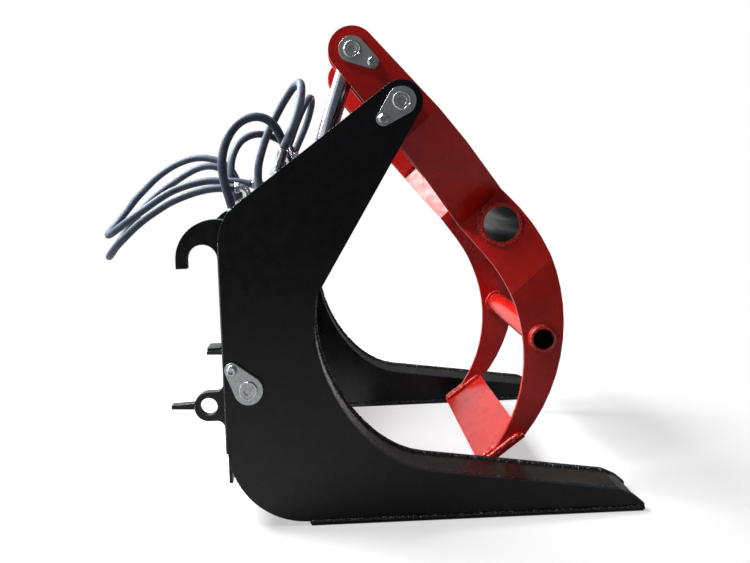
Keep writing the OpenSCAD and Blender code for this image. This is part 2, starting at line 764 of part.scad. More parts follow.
module waist_tube() {
    c = pivot + [waist_tube_x, -waist_tube_drop];
    color(red_paint)
        y_tube(c, waist_tube_d / 2, waist_tube_d / 2 - waist_tube_wall, -waist_tube_len / 2, waist_tube_len);
}

module lower_tube() {
    c = pivot + [lower_tube_x, -lower_tube_drop];
    l = (lower_w + tip_w) / 2 + 2 * lower_tube_proud;
    color(red_paint) y_tube(c, lower_tube_d / 2, lower_tube_d / 2 - lower_tube_wall, -l / 2, l);
}

module push_plate() {
    color(red_paint)
        translate([push_edge[0], -push_len / 2, push_edge[1]]) rotate([0, -push_slope, 0])
            translate([0, 0, -push_t]) cube([push_w, push_len, push_t]);
}

module clamp_hub() {
    y_tube(pivot, hub_d / 2, bush_d / 2 + fit, y_in + run_gap, y_lug_in - y_in - run_gap);
}

module clamp_bush() {
    y_tube(pivot, bush_d / 2, pin_d / 2 + pin_fit, y_in + run_gap, y_lug_in - y_in - run_gap);
}

module clamp_hub_right() { color(red_paint) clamp_hub(); }
module clamp_hub_left() { color(red_paint) left_side() clamp_hub(); }
module clamp_bushes() {
    color(bronze) {
        clamp_bush();
        left_side() clamp_bush();
    }
}

// Cylinders, drawn along Z from the base pin
module cyl_y_rod(h, r, l) {
    translate([0, l / 2, h]) rotate([90, 0, 0]) cylinder(r = r, h = l, $fn = fine);
}

// A round boss that stands out of the barrel on the side of its ports
module port(h, d, l) {
    translate([0, 0, h]) rotate([0, 0, port_a]) rotate([0, 90, 0]) cylinder(d = d, h = l, $fn = fine);
}

base_port = bore_start + port_d / 2;
port_a = 135;
pipe_off = barrel_d / 2 + 0.7 * pipe_d;
port_out = pipe_off + 0.6 * pipe_d;
cap_start = base_eye_d / 3;

module barrel() {
    along_cylinder() difference() {
        union() {
            translate([0, 0, cap_start]) cylinder(d = barrel_d, h = barrel_len - cap_start, $fn = fine);
            cyl_y_rod(0, base_eye_d / 2, base_eye_len);
            for (h = [base_port, head_port]) port(h, port_d, port_out);
        }
        translate([0, 0, bore_start]) cylinder(d = barrel_bore, h = barrel_len, $fn = fine);
        cyl_y_rod(0, pin_d / 2 + pin_fit, 2 * base_eye_len);
        for (h = [base_port, head_port]) port(h, port_d / 3, pipe_off - 0.6 * pipe_d);
        translate([0, 0, base_port]) rotate([0, 0, port_a]) translate([pipe_off, 0, 0])
            cylinder(d = pipe_d + 2 * fit, h = port_d, $fn = fine);
    }
}

module gland() {
    along_cylinder() translate([0, 0, barrel_len - gland_in]) difference() {
        union() {
            cylinder(d = barrel_bore - 2 * fit, h = gland_in + gland_out, $fn = fine);
            translate([0, 0, gland_in]) cylinder(d = barrel_d, h = gland_out, $fn = fine);
        }
        translate([0, 0, -over]) cylinder(r = rod_d / 2 + pin_fit, h = gland_in + gland_out + 2 * over, $fn = fine);
    }
}

piston_top = barrel_len - gland_in - piston_back;

module piston() {
    along_cylinder() translate([0, 0, piston_top - piston_t]) difference() {
        cylinder(r = barrel_bore / 2 - pin_fit, h = piston_t, $fn = fine);
        translate([0, 0, -over]) cylinder(r = rod_d / 3 + fit, h = piston_t + 2 * over, $fn = fine);
    }
}

module piston_rod() {
    along_cylinder() {
        translate([0, 0, piston_top]) cylinder(d = rod_d, h = cyl_len - rod_eye_d / 2 - piston_top, $fn = fine);
        translate([0, 0, piston_top - piston_t]) cylinder(r = rod_d / 3, h = piston_t, $fn = fine);
    }
}

module rod_eye() {
    along_cylinder() difference() {
        union() {
            cyl_y_rod(cyl_len, rod_eye_d / 2, rod_eye_w);
            translate([-rod_d / 2, -rod_eye_w / 2, cyl_len - rod_eye_d / 2])
                cube([rod_d, rod_eye_w, rod_eye_d / 2]);
        }
        cyl_y_rod(cyl_len, rod_eye_bore / 2, 2 * rod_eye_w);
    }
}

module barrel_right() { color(black_paint) barrel(); }
module barrel_left() { color(black_paint) left_side() barrel(); }
module gland_right() { color(black_paint) gland(); }
module gland_left() { color(black_paint) left_side() gland(); }
module piston_right() { color(steel) piston(); }
module piston_left() { color(steel) left_side() piston(); }
module piston_rod_right() { color(chrome) piston_rod(); }
module piston_rod_left() { color(chrome) left_side() piston_rod(); }
module rod_eye_right() { color(steel) rod_eye(); }
module rod_eye_left() { color(steel) left_side() rod_eye(); }

// A tube with flat sides swept along a list of points, without a twist
function unit(v) = v / norm(v);
function tangent(pts, i) = unit(pts[min(i + 1, len(pts) - 1)] - pts[max(i - 1, 0)]);
function square_to(t, u) = unit(u - (u * t) * t);
function ring_dirs(pts, i, u) =
    i == len(pts) ? [] : let (v = square_to(tangent(pts, i), u)) concat([v], ring_dirs(pts, i + 1, v));

module swept_tube(pts, d, sides) {
    n = len(pts);
    dirs = ring_dirs(pts, 0, square_to(tangent(pts, 0), [1, 2, 0.5]));
    rings = [for (i = [0:n - 1])
        let (u = dirs[i], w = cross(tangent(pts, i), u))
        for (k = [0:sides - 1])
            let (a = 360 * k / sides) pts[i] + d / 2 * (cos(a) * u + sin(a) * w)];
    walls = [for (i = [0:n - 2], k = [0:sides - 1])
        let (a = i * sides + k, b = i * sides + (k + 1) % sides) [a, a + sides, b + sides, b]];
    ends = [[for (k = [0:sides - 1]) k], [for (k = [sides - 1:-1:0]) (n - 1) * sides + k]];
    polyhedron(points = rings, faces = concat(walls, ends), convexity = 8);
}

// A straight rod between two points
module rod_between(p, q, d, sides = fine) {
    v = q - p;
    translate(p) rotate([0, acos(v[2] / norm(v)), atan2(v[1], v[0])]) cylinder(d = d, h = norm(v), $fn = sides);
}

// A hose end at point p that points along v: a crimped ferrule and its nut
module hose_end(p, v, l) {
    q = p + l * unit(v);
    rod_between(p, q, ferrule_d);
    rod_between(q - fit * unit(v), q + nut_af / 2 * unit(v), nut_af / cos(30), 6);
}

function route_out(pts) = unit(pts[0] - pts[1]);
function route_end(pts) = let (n = len(pts)) unit(pts[n - 1] - pts[n - 2]);
function last(pts) = pts[len(pts) - 1];

// A point beside the right barrel: h along it, turned by a about it and r away from its axis
function barrel_point(h, a, r) = [
    base_pin[0] + h * sin(cyl_tilt) + r * cos(a) * cos(cyl_tilt),
    y_cyl + r * sin(a),
    base_pin[1] + h * cos(cyl_tilt) - r * cos(a) * sin(cyl_tilt)
];

// Pipe and hose ends on the right barrel
module barrel_fittings(head_pts, base_pts) {
    back = down_barrel;
    base_end = last(base_pts) + (ferrule_len + nut_af / 2) * back;
    hose_end(last(base_pts), back, ferrule_len);
    low = barrel_point(pipe_bend - 3 * pipe_d, port_a, pipe_off);
    swept_tube(concat(
        [base_end - pipe_d / 4 * back],
        curve(base_end, base_end + 3 * pipe_d * back, low - 3 * pipe_d * back, low),
        [low, barrel_point(base_port, port_a, pipe_off)]
    ), pipe_d, 10);
    head_end = barrel_point(head_port, port_a, head_elbow);
    head_v = head_end - last(head_pts);
    hose_end(last(head_pts), head_v, norm(head_v) - nut_af / 2);
    rod_between(barrel_point(head_port, port_a, port_out), barrel_point(head_port, port_a, port_out + 0.9 * nut_af),
        0.9 * port_d);
}

pipe_bend = head_port - 3 * port_d;
head_elbow = port_out + nut_af / 2;
down_barrel = -[sin(cyl_tilt), 0, cos(cyl_tilt)];

module barrel_fittings_right() { color(zinc) barrel_fittings(head_route_right, base_route_right); }
module barrel_fittings_left() {
    color(zinc) left_side() barrel_fittings(mirrored(head_route_left), mirrored(base_route_left));
}

// Steel pipes across the upper cross tube, with a hose end over each of their tees
module tee(x, y) {
    translate([x, y + 0.8 * tee_d, pipe_h]) rotate([90, 0, 0]) cylinder(d = tee_d, h = 1.6 * tee_d, $fn = fine);
    translate([x, y, pipe_h]) cylinder(d = tee_d, h = riser_h - pipe_h, $fn = fine);
}

module cross_pipe(x, routes, riser_y) {
    ys = [for (r = routes) r[0][1]];
    y0 = min(ys) - pipe_d;
    translate([x, max(ys) + pipe_d, pipe_h]) rotate([90, 0, 0])
        cylinder(d = pipe_d, h = max(ys) - min(ys) + 2 * pipe_d, $fn = fine);
    for (r = routes) {
        v = [x, r[0][1], pipe_h] - r[0];
        hose_end(r[0], v, norm(v) - nut_af / 2 - tee_d / 2);
        tee(x, r[0][1]);
    }
    tee(x, riser_y);
}

module cross_pipes() {
    color(zinc) {
        cross_pipe(head_pipe_x, [head_route_right, head_route_left], supply_route_right[0][1]);
        cross_pipe(base_pipe_x, [base_route_right, base_route_left], supply_route_left[0][1]);
    }
}

// Elbows that carry the two supply hoses
module supply_elbow(p, x) {
    r = 1.2 * pipe_d;
    bend = [for (i = [0:4]) let (a = 90 - 22.5 * i) [x - r + r * cos(a), p[1], p[2] - r + r * sin(a)]];
    hose_end(p, [1, 0, 0], x - r - p[0] - nut_af / 2);
    swept_tube(concat([[x - 1.6 * r, p[1], p[2]]], bend, [[x, p[1], p[2] - 1.6 * r]]), tee_d, 12);
    translate([x, p[1], riser_h]) cylinder(d = pipe_d, h = p[2] - 1.2 * r - riser_h, $fn = fine);
}

module supply_fittings() {
    color(zinc) {
        supply_elbow(supply_route_right[0], head_pipe_x);
        supply_elbow(supply_route_left[0], base_pipe_x);
    }
}

// Couplers of the supply hoses, parked in a holder behind the back plate
coupler_nose_d = pipe_d * 1.3;
holder_top = upper_tube_top - 2 * ferrule_d / 2;
function supply_ends() = [last(supply_route_right), last(supply_route_left)];

module coupler_holder() {
    ends = supply_ends();
    gap = ends[1][1] - ends[0][1];
    color(black_paint) difference() {
        translate([ends[0][0] - ferrule_d, ends[0][1] - ferrule_d, holder_top - flag_t])
            cube([x_rear - ends[0][0] + ferrule_d, gap + 2 * ferrule_d, flag_t]);
        for (e = ends) translate([e[0], e[1], holder_top - flag_t - over])
            cylinder(d = coupler_nose_d + 2 * fit, h = flag_t + 2 * over, $fn = fine);
    }
}

module quick_couplers() {
    color(zinc) for (e = supply_ends()) {
        hose_end(e, [0, 0, -1], ferrule_len / 2);
        low = e[2] - ferrule_len / 2 - nut_af / 2;
        translate([e[0], e[1], holder_top]) cylinder(d = 1.2 * nut_af, h = low - holder_top, $fn = fine);
        translate([e[0], e[1], holder_top - 2 * coupler_nose_d])
            cylinder(d = coupler_nose_d, h = 2 * coupler_nose_d, $fn = fine);
    }
}

// A hose between two ferrules, which point along v0 and v1 and which it leaves straight
module hose(pts, v0, v1) {
    n = len(pts) - 1;
    swept_tube(concat(
        [pts[0] - fit * unit(v0), pts[0] - hose_d / 4 * unit(v0)], [for (i = [1:n - 1]) pts[i]],
        [pts[n] - hose_d / 4 * unit(v1), pts[n] - fit * unit(v1)]
    ), hose_d, 8);
}

module head_hose(pts) {
    color(hose_rubber)
        hose(pts, [head_pipe_x, pts[0][1], pipe_h] - pts[0], barrel_point(head_port, port_a, head_elbow) - last(pts));
}

module base_hose(pts) { color(hose_rubber) hose(pts, [base_pipe_x, pts[0][1], pipe_h] - pts[0], down_barrel); }

module head_hose_right() { head_hose(head_route_right); }
module head_hose_left() { left_side() head_hose(mirrored(head_route_left)); }
module base_hose_right() { base_hose(base_route_right); }
module base_hose_left() { left_side() base_hose(mirrored(base_route_left)); }
module supply_hose_right() { color(hose_rubber) hose(supply_route_right, [1, 0, 0], [0, 0, -1]); }
module supply_hose_left() { color(hose_rubber) hose(supply_route_left, [1, 0, 0], [0, 0, -1]); }

side_plate_outer_right();
side_plate_outer_left();
side_plate_inner_right();
side_plate_inner_left();
throat_strip_right();
throat_strip_left();
wear_plate_right();
wear_plate_left();
back_plate();
upper_cross_tube();
lower_cross_tube();
hitch_plate_right();
hitch_plate_left();
guide_horns();
stop_bars();
cylinder_lugs();
pin_sleeves();
pivot_pin_right();
pivot_pin_left();
base_pin_right();
base_pin_left();
frame_pin_bolts();
clamp_plate_right();
clamp_plate_left();
clamp_lug_right();
clamp_lug_left();
waist_tube();
lower_tube();
push_plate();
clamp_hub_right();
clamp_hub_left();
clamp_bushes();
rod_pin_right();
rod_pin_left();
clamp_pin_bolts();
barrel_right();
barrel_left();
gland_right();
gland_left();
barrel_fittings_right();
barrel_fittings_left();
piston_rod_right();
piston_rod_left();
piston_right();
piston_left();
rod_eye_right();
rod_eye_left();
cross_pipes();
supply_fittings();
coupler_holder();
quick_couplers();
head_hose_right();
head_hose_left();
base_hose_right();
base_hose_left();
supply_hose_right();
supply_hose_left();
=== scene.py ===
# %% [markdown]
# # A log grapple in Blender
# The object is a grapple that a loader carries to pick up logs. Two hollow black boxes lie under
# the logs, and a red clamp, pushed by two hydraulic cylinders, closes on them from above. The
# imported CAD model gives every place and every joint. This script dresses it: it bevels the plates,
# lays weld beads, builds the hose ends, and gives each surface the finish of the real one.

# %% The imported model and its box
import json
import math

import bmesh
import bpy
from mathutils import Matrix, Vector, noise
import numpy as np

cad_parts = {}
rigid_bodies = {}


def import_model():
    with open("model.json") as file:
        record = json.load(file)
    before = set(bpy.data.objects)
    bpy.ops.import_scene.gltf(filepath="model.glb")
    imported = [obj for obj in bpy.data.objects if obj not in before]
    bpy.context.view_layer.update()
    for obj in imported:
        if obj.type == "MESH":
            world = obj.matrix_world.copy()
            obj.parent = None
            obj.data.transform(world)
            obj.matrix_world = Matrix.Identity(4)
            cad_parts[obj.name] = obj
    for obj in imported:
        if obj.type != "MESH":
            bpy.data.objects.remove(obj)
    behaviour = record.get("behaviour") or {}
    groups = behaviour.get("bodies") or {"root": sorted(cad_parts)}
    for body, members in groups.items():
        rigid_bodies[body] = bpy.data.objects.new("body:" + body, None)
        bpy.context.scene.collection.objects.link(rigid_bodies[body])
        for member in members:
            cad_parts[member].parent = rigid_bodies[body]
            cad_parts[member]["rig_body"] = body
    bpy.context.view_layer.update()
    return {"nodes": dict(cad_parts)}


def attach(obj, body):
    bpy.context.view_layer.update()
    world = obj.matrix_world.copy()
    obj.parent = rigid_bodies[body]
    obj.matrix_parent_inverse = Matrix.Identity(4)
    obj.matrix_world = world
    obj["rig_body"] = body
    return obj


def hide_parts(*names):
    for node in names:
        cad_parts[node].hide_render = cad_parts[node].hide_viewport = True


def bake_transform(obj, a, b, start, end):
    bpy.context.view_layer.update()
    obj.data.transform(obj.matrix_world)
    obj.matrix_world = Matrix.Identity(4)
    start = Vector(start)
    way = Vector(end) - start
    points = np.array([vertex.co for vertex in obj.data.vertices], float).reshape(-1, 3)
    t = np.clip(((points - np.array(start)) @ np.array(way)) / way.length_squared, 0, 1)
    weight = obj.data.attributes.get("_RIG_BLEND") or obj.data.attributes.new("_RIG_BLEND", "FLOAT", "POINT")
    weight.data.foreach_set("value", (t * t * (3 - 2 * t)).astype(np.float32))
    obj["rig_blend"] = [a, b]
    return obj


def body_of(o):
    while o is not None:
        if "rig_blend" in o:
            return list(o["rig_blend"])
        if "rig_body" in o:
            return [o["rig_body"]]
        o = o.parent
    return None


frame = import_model()
MM = 0.001
SIDES = {"right": -1, "left": 1}  # the sign of Y on each side of the grapple

# %% [markdown]
# ## The camera
# The photo was taken from two metres to the right of the grapple, a little above its middle. It is
# cut from a wider picture, which is why the lens is shifted. The camera's place was worked out from
# eleven points that are easy to find both in the photo and in the CAD model. The grapple's back,
# with the hitch, is on the left of the picture.

# %% The camera
def add_object(name, data):
    """A new object in the scene, made of a camera, a mesh or a lamp."""
    made = bpy.data.objects.new(name, data)
    bpy.context.scene.collection.objects.link(made)
    return made


camera_data = bpy.data.cameras.new("camera")
camera_data.lens = 35.99
camera_data.sensor_width = 36.0
camera_data.shift_x = 0.063
camera_data.shift_y = -0.151
camera = add_object("camera", camera_data)
camera.location = (-0.1274, -2.1078, 0.7868)
camera.rotation_euler = [math.radians(a) for a in (89.857, 2.608, -0.009)]
bpy.context.scene.camera = camera
print("camera at", [round(c, 3) for c in camera.location])

# %% [markdown]
# ## Small tools for finishes
# Colours are written as the hex values that a paint chart or an image editor shows. Those are sRGB,
# and shaders want linear light, so one function turns them. Another adds a node with its settings
# and links in one line, which keeps each finish short enough to read.

# %% Colour and node helpers
def linear(hex_colour):
    """The linear RGBA of an sRGB hex colour."""
    channels = []
    for i in (1, 3, 5):
        c = int(hex_colour[i:i + 2], 16) / 255
        channels.append(c / 12.92 if c <= 0.04045 else ((c + 0.055) / 1.055) ** 2.4)
    return channels + [1.0]


def add_node(tree, kind, inputs=None, stops=(), **settings):
    """A shader node. Inputs are values or sockets to link. Stops are the hex colours of a ramp,
    its two ends first, since a new ramp has those."""
    node = tree.nodes.new("ShaderNode" + kind)
    for name, value in settings.items():
        setattr(node, name, value)
    for name, value in (inputs or {}).items():
        if isinstance(value, bpy.types.NodeSocket):
            tree.links.new(value, node.inputs[name])
        else:
            node.inputs[name].default_value = value
    for i, (position, colour) in enumerate(stops):
        elements = node.color_ramp.elements
        element = elements[i] if i < 2 else elements.new(position)
        element.position = position
        element.color = linear(colour)
    return node


def new_material(name):
    """An empty material, its node tree and the object's own coordinates, in metres."""
    material = bpy.data.materials.new(name)
    material.use_nodes = True
    tree = material.node_tree
    tree.nodes.clear()
    return material, tree, add_node(tree, "TexCoord").outputs["Object"]


def per_size(millimetres):
    """The scale that gives a noise of about that size on the real surface."""
    return 1000.0 / millimetres


NOISE_SPAN = {"From Min": 0.3, "From Max": 0.7}  # nearly all of a noise lies between these
print("sRGB mid grey is", round(linear("#808080")[0], 3), "in linear light")

# %% [markdown]
# ## Enamel paint on steel plate
# The frame and the clamp are sprayed with a semi-gloss alkyd enamel. It has a fine orange peel, a
# bump about 3 mm across and a few hundredths of a millimetre deep, on plate that is faintly wavy
# over 70 mm. It is a dielectric of IOR 1.5, and a little less glossy than fresh varnish, so its
# specular level is lower. Dust and handling leave faint lighter clouds, 90 mm wide, and smears of
# 24 mm.

# %% Enamel paint
def enamel(name, dark, main, light, roughness, specular, peel_depth=0.06):
    """Sprayed enamel: a cloudy colour, an uneven gloss and an orange peel on wavy plate."""
    material, tree, place = new_material(name)
    clouds = add_node(
        tree, "TexNoise", {"Vector": place, "Scale": per_size(90), "Detail": 5.0, "Roughness": 0.6}
    )
    colour = add_node(
        tree, "ValToRGB", {"Fac": clouds.outputs["Fac"]},
        stops=[(0.3, dark), (0.75, light), (0.5, main)],
    )
    smears = add_node(tree, "TexNoise", {"Vector": place, "Scale": per_size(24), "Detail": 4.0})
    gloss = add_node(
        tree, "MapRange",
        {"Value": smears.outputs["Fac"], **NOISE_SPAN,
         "To Min": roughness - 0.04, "To Max": roughness + 0.08},
    )
    peel = add_node(tree, "TexNoise", {"Vector": place, "Scale": per_size(3), "Detail": 1.0})
    waves = add_node(tree, "TexNoise", {"Vector": place, "Scale": per_size(70), "Detail": 1.0})
    wavy = add_node(
        tree, "Bump", {"Height": waves.outputs["Fac"], "Strength": 0.14, "Distance": 0.6 * MM}
    )
    bump = add_node(
        tree, "Bump",
        {"Height": peel.outputs["Fac"], "Strength": 0.35, "Distance": peel_depth * MM,
         "Normal": wavy.outputs["Normal"]},
    )
    surface = add_node(
        tree, "BsdfPrincipled",
        {"Base Color": colour.outputs["Color"], "Roughness": gloss.outputs["Result"],
         "Normal": bump.outputs["Normal"], "IOR": 1.5, "Specular IOR Level": specular},
    )
    add_node(tree, "OutputMaterial", {"Surface": surface.outputs["BSDF"]})
    return material


black_enamel = enamel("black_enamel", "#09090a", "#0b0b0d", "#0f1011", 0.28, 0.32)
throat_enamel = enamel(  # the logs polish the throat; its brownish tint is a painted warm reflection
    "black_enamel_polished_by_logs", "#14110d", "#1d1a16", "#2b2822", 0.22, 0.45
)
red_enamel = enamel("red_enamel", "#a81510", "#ba1913", "#c81f18", 0.23, 0.38, peel_depth=0.09)
print("enamels:", black_enamel.name, throat_enamel.name, red_enamel.name)

# %% [markdown]
# Every bevelled edge gets the same enamel in a paler, shinier version: a painted highlight for
# the thin line of light that an edge catches. Over a weld bead the paint follows the ripples,
# which are 3 mm apart, and pale specks on it are painted glints.

# %% Painted highlights on edges and on welds
def painted_weld(name, main, painted_glint):
    """Enamel over a rough weld bead, with pale specks that are painted glints."""
    material, tree, place = new_material(name)
    grains = add_node(
        tree, "TexNoise", {"Vector": place, "Scale": per_size(4), "Detail": 4.0, "Roughness": 0.7}
    )
    colour = add_node(
        tree, "ValToRGB", {"Fac": grains.outputs["Fac"]},
        stops=[(0.5, main), (0.64, painted_glint), (0.57, main)],
    )
    ripples = add_node(tree, "TexNoise", {"Vector": place, "Scale": per_size(3), "Detail": 3.0})
    bump = add_node(
        tree, "Bump", {"Height": ripples.outputs["Fac"], "Strength": 0.8, "Distance": 0.8 * MM}
    )
    surface = add_node(
        tree, "BsdfPrincipled",
        {"Base Color": colour.outputs["Color"], "Roughness": 0.2,
         "Normal": bump.outputs["Normal"], "IOR": 1.5},
    )
    add_node(tree, "OutputMaterial", {"Surface": surface.outputs["BSDF"]})
    return material


# Paler enamels for the bevelled edges: painted highlights, the thin line of light an edge catches.
black_edge_painted_highlight = enamel("black_enamel_thin_on_edges", "#2c3238", "#3f474f", "#56606a", 0.3, 0.5)
throat_edge_painted_highlight = enamel("polished_enamel_thin_on_edges", "#1c1a17", "#2c2a26", "#454139", 0.26, 0.5)
red_edge_painted_highlight = enamel("red_enamel_thin_on_edges", "#c02a20", "#d8493c", "#ec7a68", 0.26, 0.5)
# The second colour of each weld finish is a painted glint, shown as pale specks.
black_weld = painted_weld("black_enamel_over_weld", "#0e0f10", "#8e9290")
red_weld = painted_weld("red_enamel_over_weld", "#bb1c15", "#ff8a76")
print("edges and welds:", black_edge_painted_highlight.name, red_edge_painted_highlight.name, black_weld.name, red_weld.name)

# %% [markdown]
# ## Metals
# Pins, flags, bolts and hose ends are zinc plated: a grey coat with faint crystals of a few
# millimetres, dull on the flags and pins, bright on the fittings. The cylinder rods are ground and
# hard chromed, nearly a mirror. Pistons, rod eyes and sleeves are turned steel, and the bushes are
# bearing bronze. All are metals, so their colour is that of the reflection.

# %% Metals
def plated_metal(name, dark, main, light, size_mm, roughness, depth_mm):
    """A metal with crystals or stains of a given size."""
    material, tree, place = new_material(name)
    cells = add_node(tree, "TexVoronoi", {"Vector": place, "Scale": per_size(size_mm)})
    haze = add_node(
        tree, "TexNoise", {"Vector": place, "Scale": per_size(3 * size_mm), "Detail": 6.0}
    )
    grain = add_node(tree, "Math", {0: cells.outputs["Color"], 1: 0.25}, operation="MULTIPLY")
    both = add_node(
        tree, "Math", {0: grain.outputs["Value"], 1: haze.outputs["Fac"]}, operation="ADD"
    )
    colour = add_node(
        tree, "ValToRGB", {"Fac": both.outputs["Value"]},
        stops=[(0.4, dark), (0.85, light), (0.6, main)],
    )
    gloss = add_node(
        tree, "MapRange",
        {"Value": haze.outputs["Fac"], **NOISE_SPAN,
         "To Min": roughness + 0.06, "To Max": roughness - 0.05},
    )
    bump = add_node(
        tree, "Bump",
        {"Height": both.outputs["Value"], "Strength": 0.4, "Distance": depth_mm * MM},
    )
    surface = add_node(
        tree, "BsdfPrincipled",
        {"Base Color": colour.outputs["Color"], "Metallic": 1.0,
         "Roughness": gloss.outputs["Result"], "Normal": bump.outputs["Normal"]},
    )
    add_node(tree, "OutputMaterial", {"Surface": surface.outputs["BSDF"]})
    return material


dull_zinc = plated_metal("zinc_plate_dull", "#a6acab", "#bac0bf", "#cfd4d3", 2.2, 0.44, 0.03)
bright_zinc = plated_metal("zinc_plate_bright", "#a2a5a9", "#c6cacf", "#e6eaee", 1.6, 0.24, 0.03)
dark_zinc = plated_metal("zinc_plate_black", "#2d3238", "#3f464e", "#5b646e", 1.6, 0.34, 0.03)
hard_chrome = plated_metal(
    "hard_chrome_ground", "#a4a9b4", "#b8bdca", "#ced3de", 9.0, 0.12, 0.0007
)
turned_steel = plated_metal("turned_steel", "#55585b", "#74777a", "#94979a", 1.2, 0.34, 0.02)
bearing_bronze = plated_metal("bearing_bronze", "#7c5f33", "#9a7a45", "#b18f57", 1.5, 0.36, 0.02)
print("metals:", dull_zinc.name, bright_zinc.name, hard_chrome.name, turned_steel.name)

# %% [markdown]
# ## Hose cover and the inside of the tubes
# The hoses have a black synthetic rubber cover, with the faint wrap of the cloth that it was cured
# in. The print is drawn with grains of 1.2 mm. The turns of the wrap, about 4 mm apart, are too
# fine to show from here, so a slow swell along the hose stands for them. Wax comes to the surface
# of such rubber and gives it a blue-grey bloom. The blue-grey colour is that bloom and also a
# painted sheen, lighter than the rubber alone, and a weak sheen in the shader adds to it. The
# cross tubes of the clamp are painted outside only: inside, dark hot-rolled mill scale shows,
# streaked lengthwise.

# %% Rubber and mill scale
hose_rubber, tree, place = new_material("hose_cover_rubber")
wrap = add_node(  # diagonal bands repeat every 0.63 units, which is 75 mm along an axis here
    tree, "TexWave",
    {"Vector": place, "Scale": per_size(120), "Distortion": 0.6, "Detail": 1.0},
    bands_direction="DIAGONAL",
)
cloth = add_node(tree, "TexNoise", {"Vector": place, "Scale": per_size(1.2), "Detail": 2.0})
dust = add_node(tree, "TexNoise", {"Vector": place, "Scale": per_size(30), "Detail": 5.0})
# The blue-grey colours are partly wax bloom and partly a painted sheen.
colour = add_node(
    tree, "ValToRGB", {"Fac": dust.outputs["Fac"]},
    stops=[(0.3, "#283039"), (0.8, "#4c5869"), (0.55, "#384251")],
)
gloss = add_node(
    tree, "MapRange", {"Value": dust.outputs["Fac"], **NOISE_SPAN, "To Min": 0.5, "To Max": 0.62}
)
swell = add_node(
    tree, "Bump", {"Height": wrap.outputs["Fac"], "Strength": 0.25, "Distance": 0.3 * MM}
)
bump = add_node(
    tree, "Bump",
    {"Height": cloth.outputs["Fac"], "Strength": 0.3, "Distance": 0.12 * MM,
     "Normal": swell.outputs["Normal"]},
)
surface = add_node(
    tree, "BsdfPrincipled",
    {"Base Color": colour.outputs["Color"], "Roughness": gloss.outputs["Result"],
     "Normal": bump.outputs["Normal"], "IOR": 1.52, "Specular IOR Level": 0.3,
     "Sheen Weight": 0.15, "Sheen Roughness": 0.4, "Sheen Tint": linear("#a9bfdc")},
)
add_node(tree, "OutputMaterial", {"Surface": surface.outputs["BSDF"]})

bare_scale, tree, place = new_material("mill_scale_inside_tube")
along = add_node(tree, "Mapping", {"Vector": place, "Scale": (1.0, 0.04, 1.0)})  # tubes lie along Y
streaks = add_node(
    tree, "TexNoise", {"Vector": along.outputs["Vector"], "Scale": per_size(14), "Detail": 3.0}
)
colour = add_node(
    tree, "ValToRGB", {"Fac": streaks.outputs["Fac"]},
    stops=[(0.4, "#060505"), (0.7, "#504f5a"), (0.54, "#100e0f")],
)
gloss = add_node(
    tree, "MapRange", {"Value": streaks.outputs["Fac"], **NOISE_SPAN, "To Min": 0.5, "To Max": 0.3}
)
surface = add_node(
    tree, "BsdfPrincipled",
    {"Base Color": colour.outputs["Color"], "Roughness": gloss.outputs["Result"],
     "IOR": 1.6, "Specular IOR Level": 0.15},
)
add_node(tree, "OutputMaterial", {"Surface": surface.outputs["BSDF"]})
print("other finishes:", hose_rubber.name, bare_scale.name)

# %% [markdown]
# ## Meshes from rings
# Hoses, pipes, ferrules, nuts and weld beads are all rings of points joined into a skin. One
# function makes that skin along any path: it carries the ring round the bends without a twist, and
# a radius that may change along the path and around it gives crimps, flats and ripples.

# %% Rings and skins
def around(sides):
    """The angles of a ring's points."""
    return [2 * math.pi * k / sides for k in range(sides)]


def add_ring(mesh, centre, side, other, radii):
    """A ring of points in the plane of two directions, with a radius for each point."""
    ring = []
    for angle, r in zip(around(len(radii)), radii):
        spoke = math.cos(angle) * side + math.sin(angle) * other
        ring.append(mesh.verts.new(centre + r * spoke))
    return ring


def join_rings(mesh, rings, closed=False):
    """Faces from each ring to the next, and a lid on both ends unless the row is closed."""
    sides = len(rings[0])
    for a, b in zip(rings, rings[1:] + (rings[:1] if closed else [])):
        for k in range(sides):
            mesh.faces.new((a[k], a[(k + 1) % sides], b[(k + 1) % sides], b[k]))
    if not closed:
        mesh.faces.new(list(reversed(rings[0])))
        mesh.faces.new(rings[-1])


def ring_frames(path):
    """Each point with two directions square to the path, carried along it without a twist."""
    points = [Vector(p) for p in path]
    frames = []
    side = None
    for i, point in enumerate(points):
        ahead = (points[min(i + 1, len(points) - 1)] - points[max(i - 1, 0)]).normalized()
        if side is None:
            side = ahead.orthogonal().normalized()
        side = (side - side.dot(ahead) * ahead).normalized()
        frames.append((point, side, ahead.cross(side)))
    return frames


def add_skin(mesh, path, radius, sides=16, closed=False):
    """A tube along a path. Radius is a number or a function of the ring's number and the angle."""
    rings = []
    for i, (point, side, other) in enumerate(ring_frames(path)):
        radii = [radius(i, a) if callable(radius) else radius for a in around(sides)]
        rings.append(add_ring(mesh, point, side, other, radii))
    join_rings(mesh, rings, closed)


bent = ring_frames([(0, 0, 0), (1, 0, 0), (1, 1, 0)])
print("after a right-angled bend a ring's side points to", [round(c, 2) for c in bent[-1][1]])

# %% [markdown]
# A turned form, such as a nut or a ferrule, has a straight axis and a profile. Two more tools serve
# all the pieces: one gives points on a circle seen from the side, and one makes a mesh an object
# that is smooth but for its sharp edges and rides on a body of the CAD model.

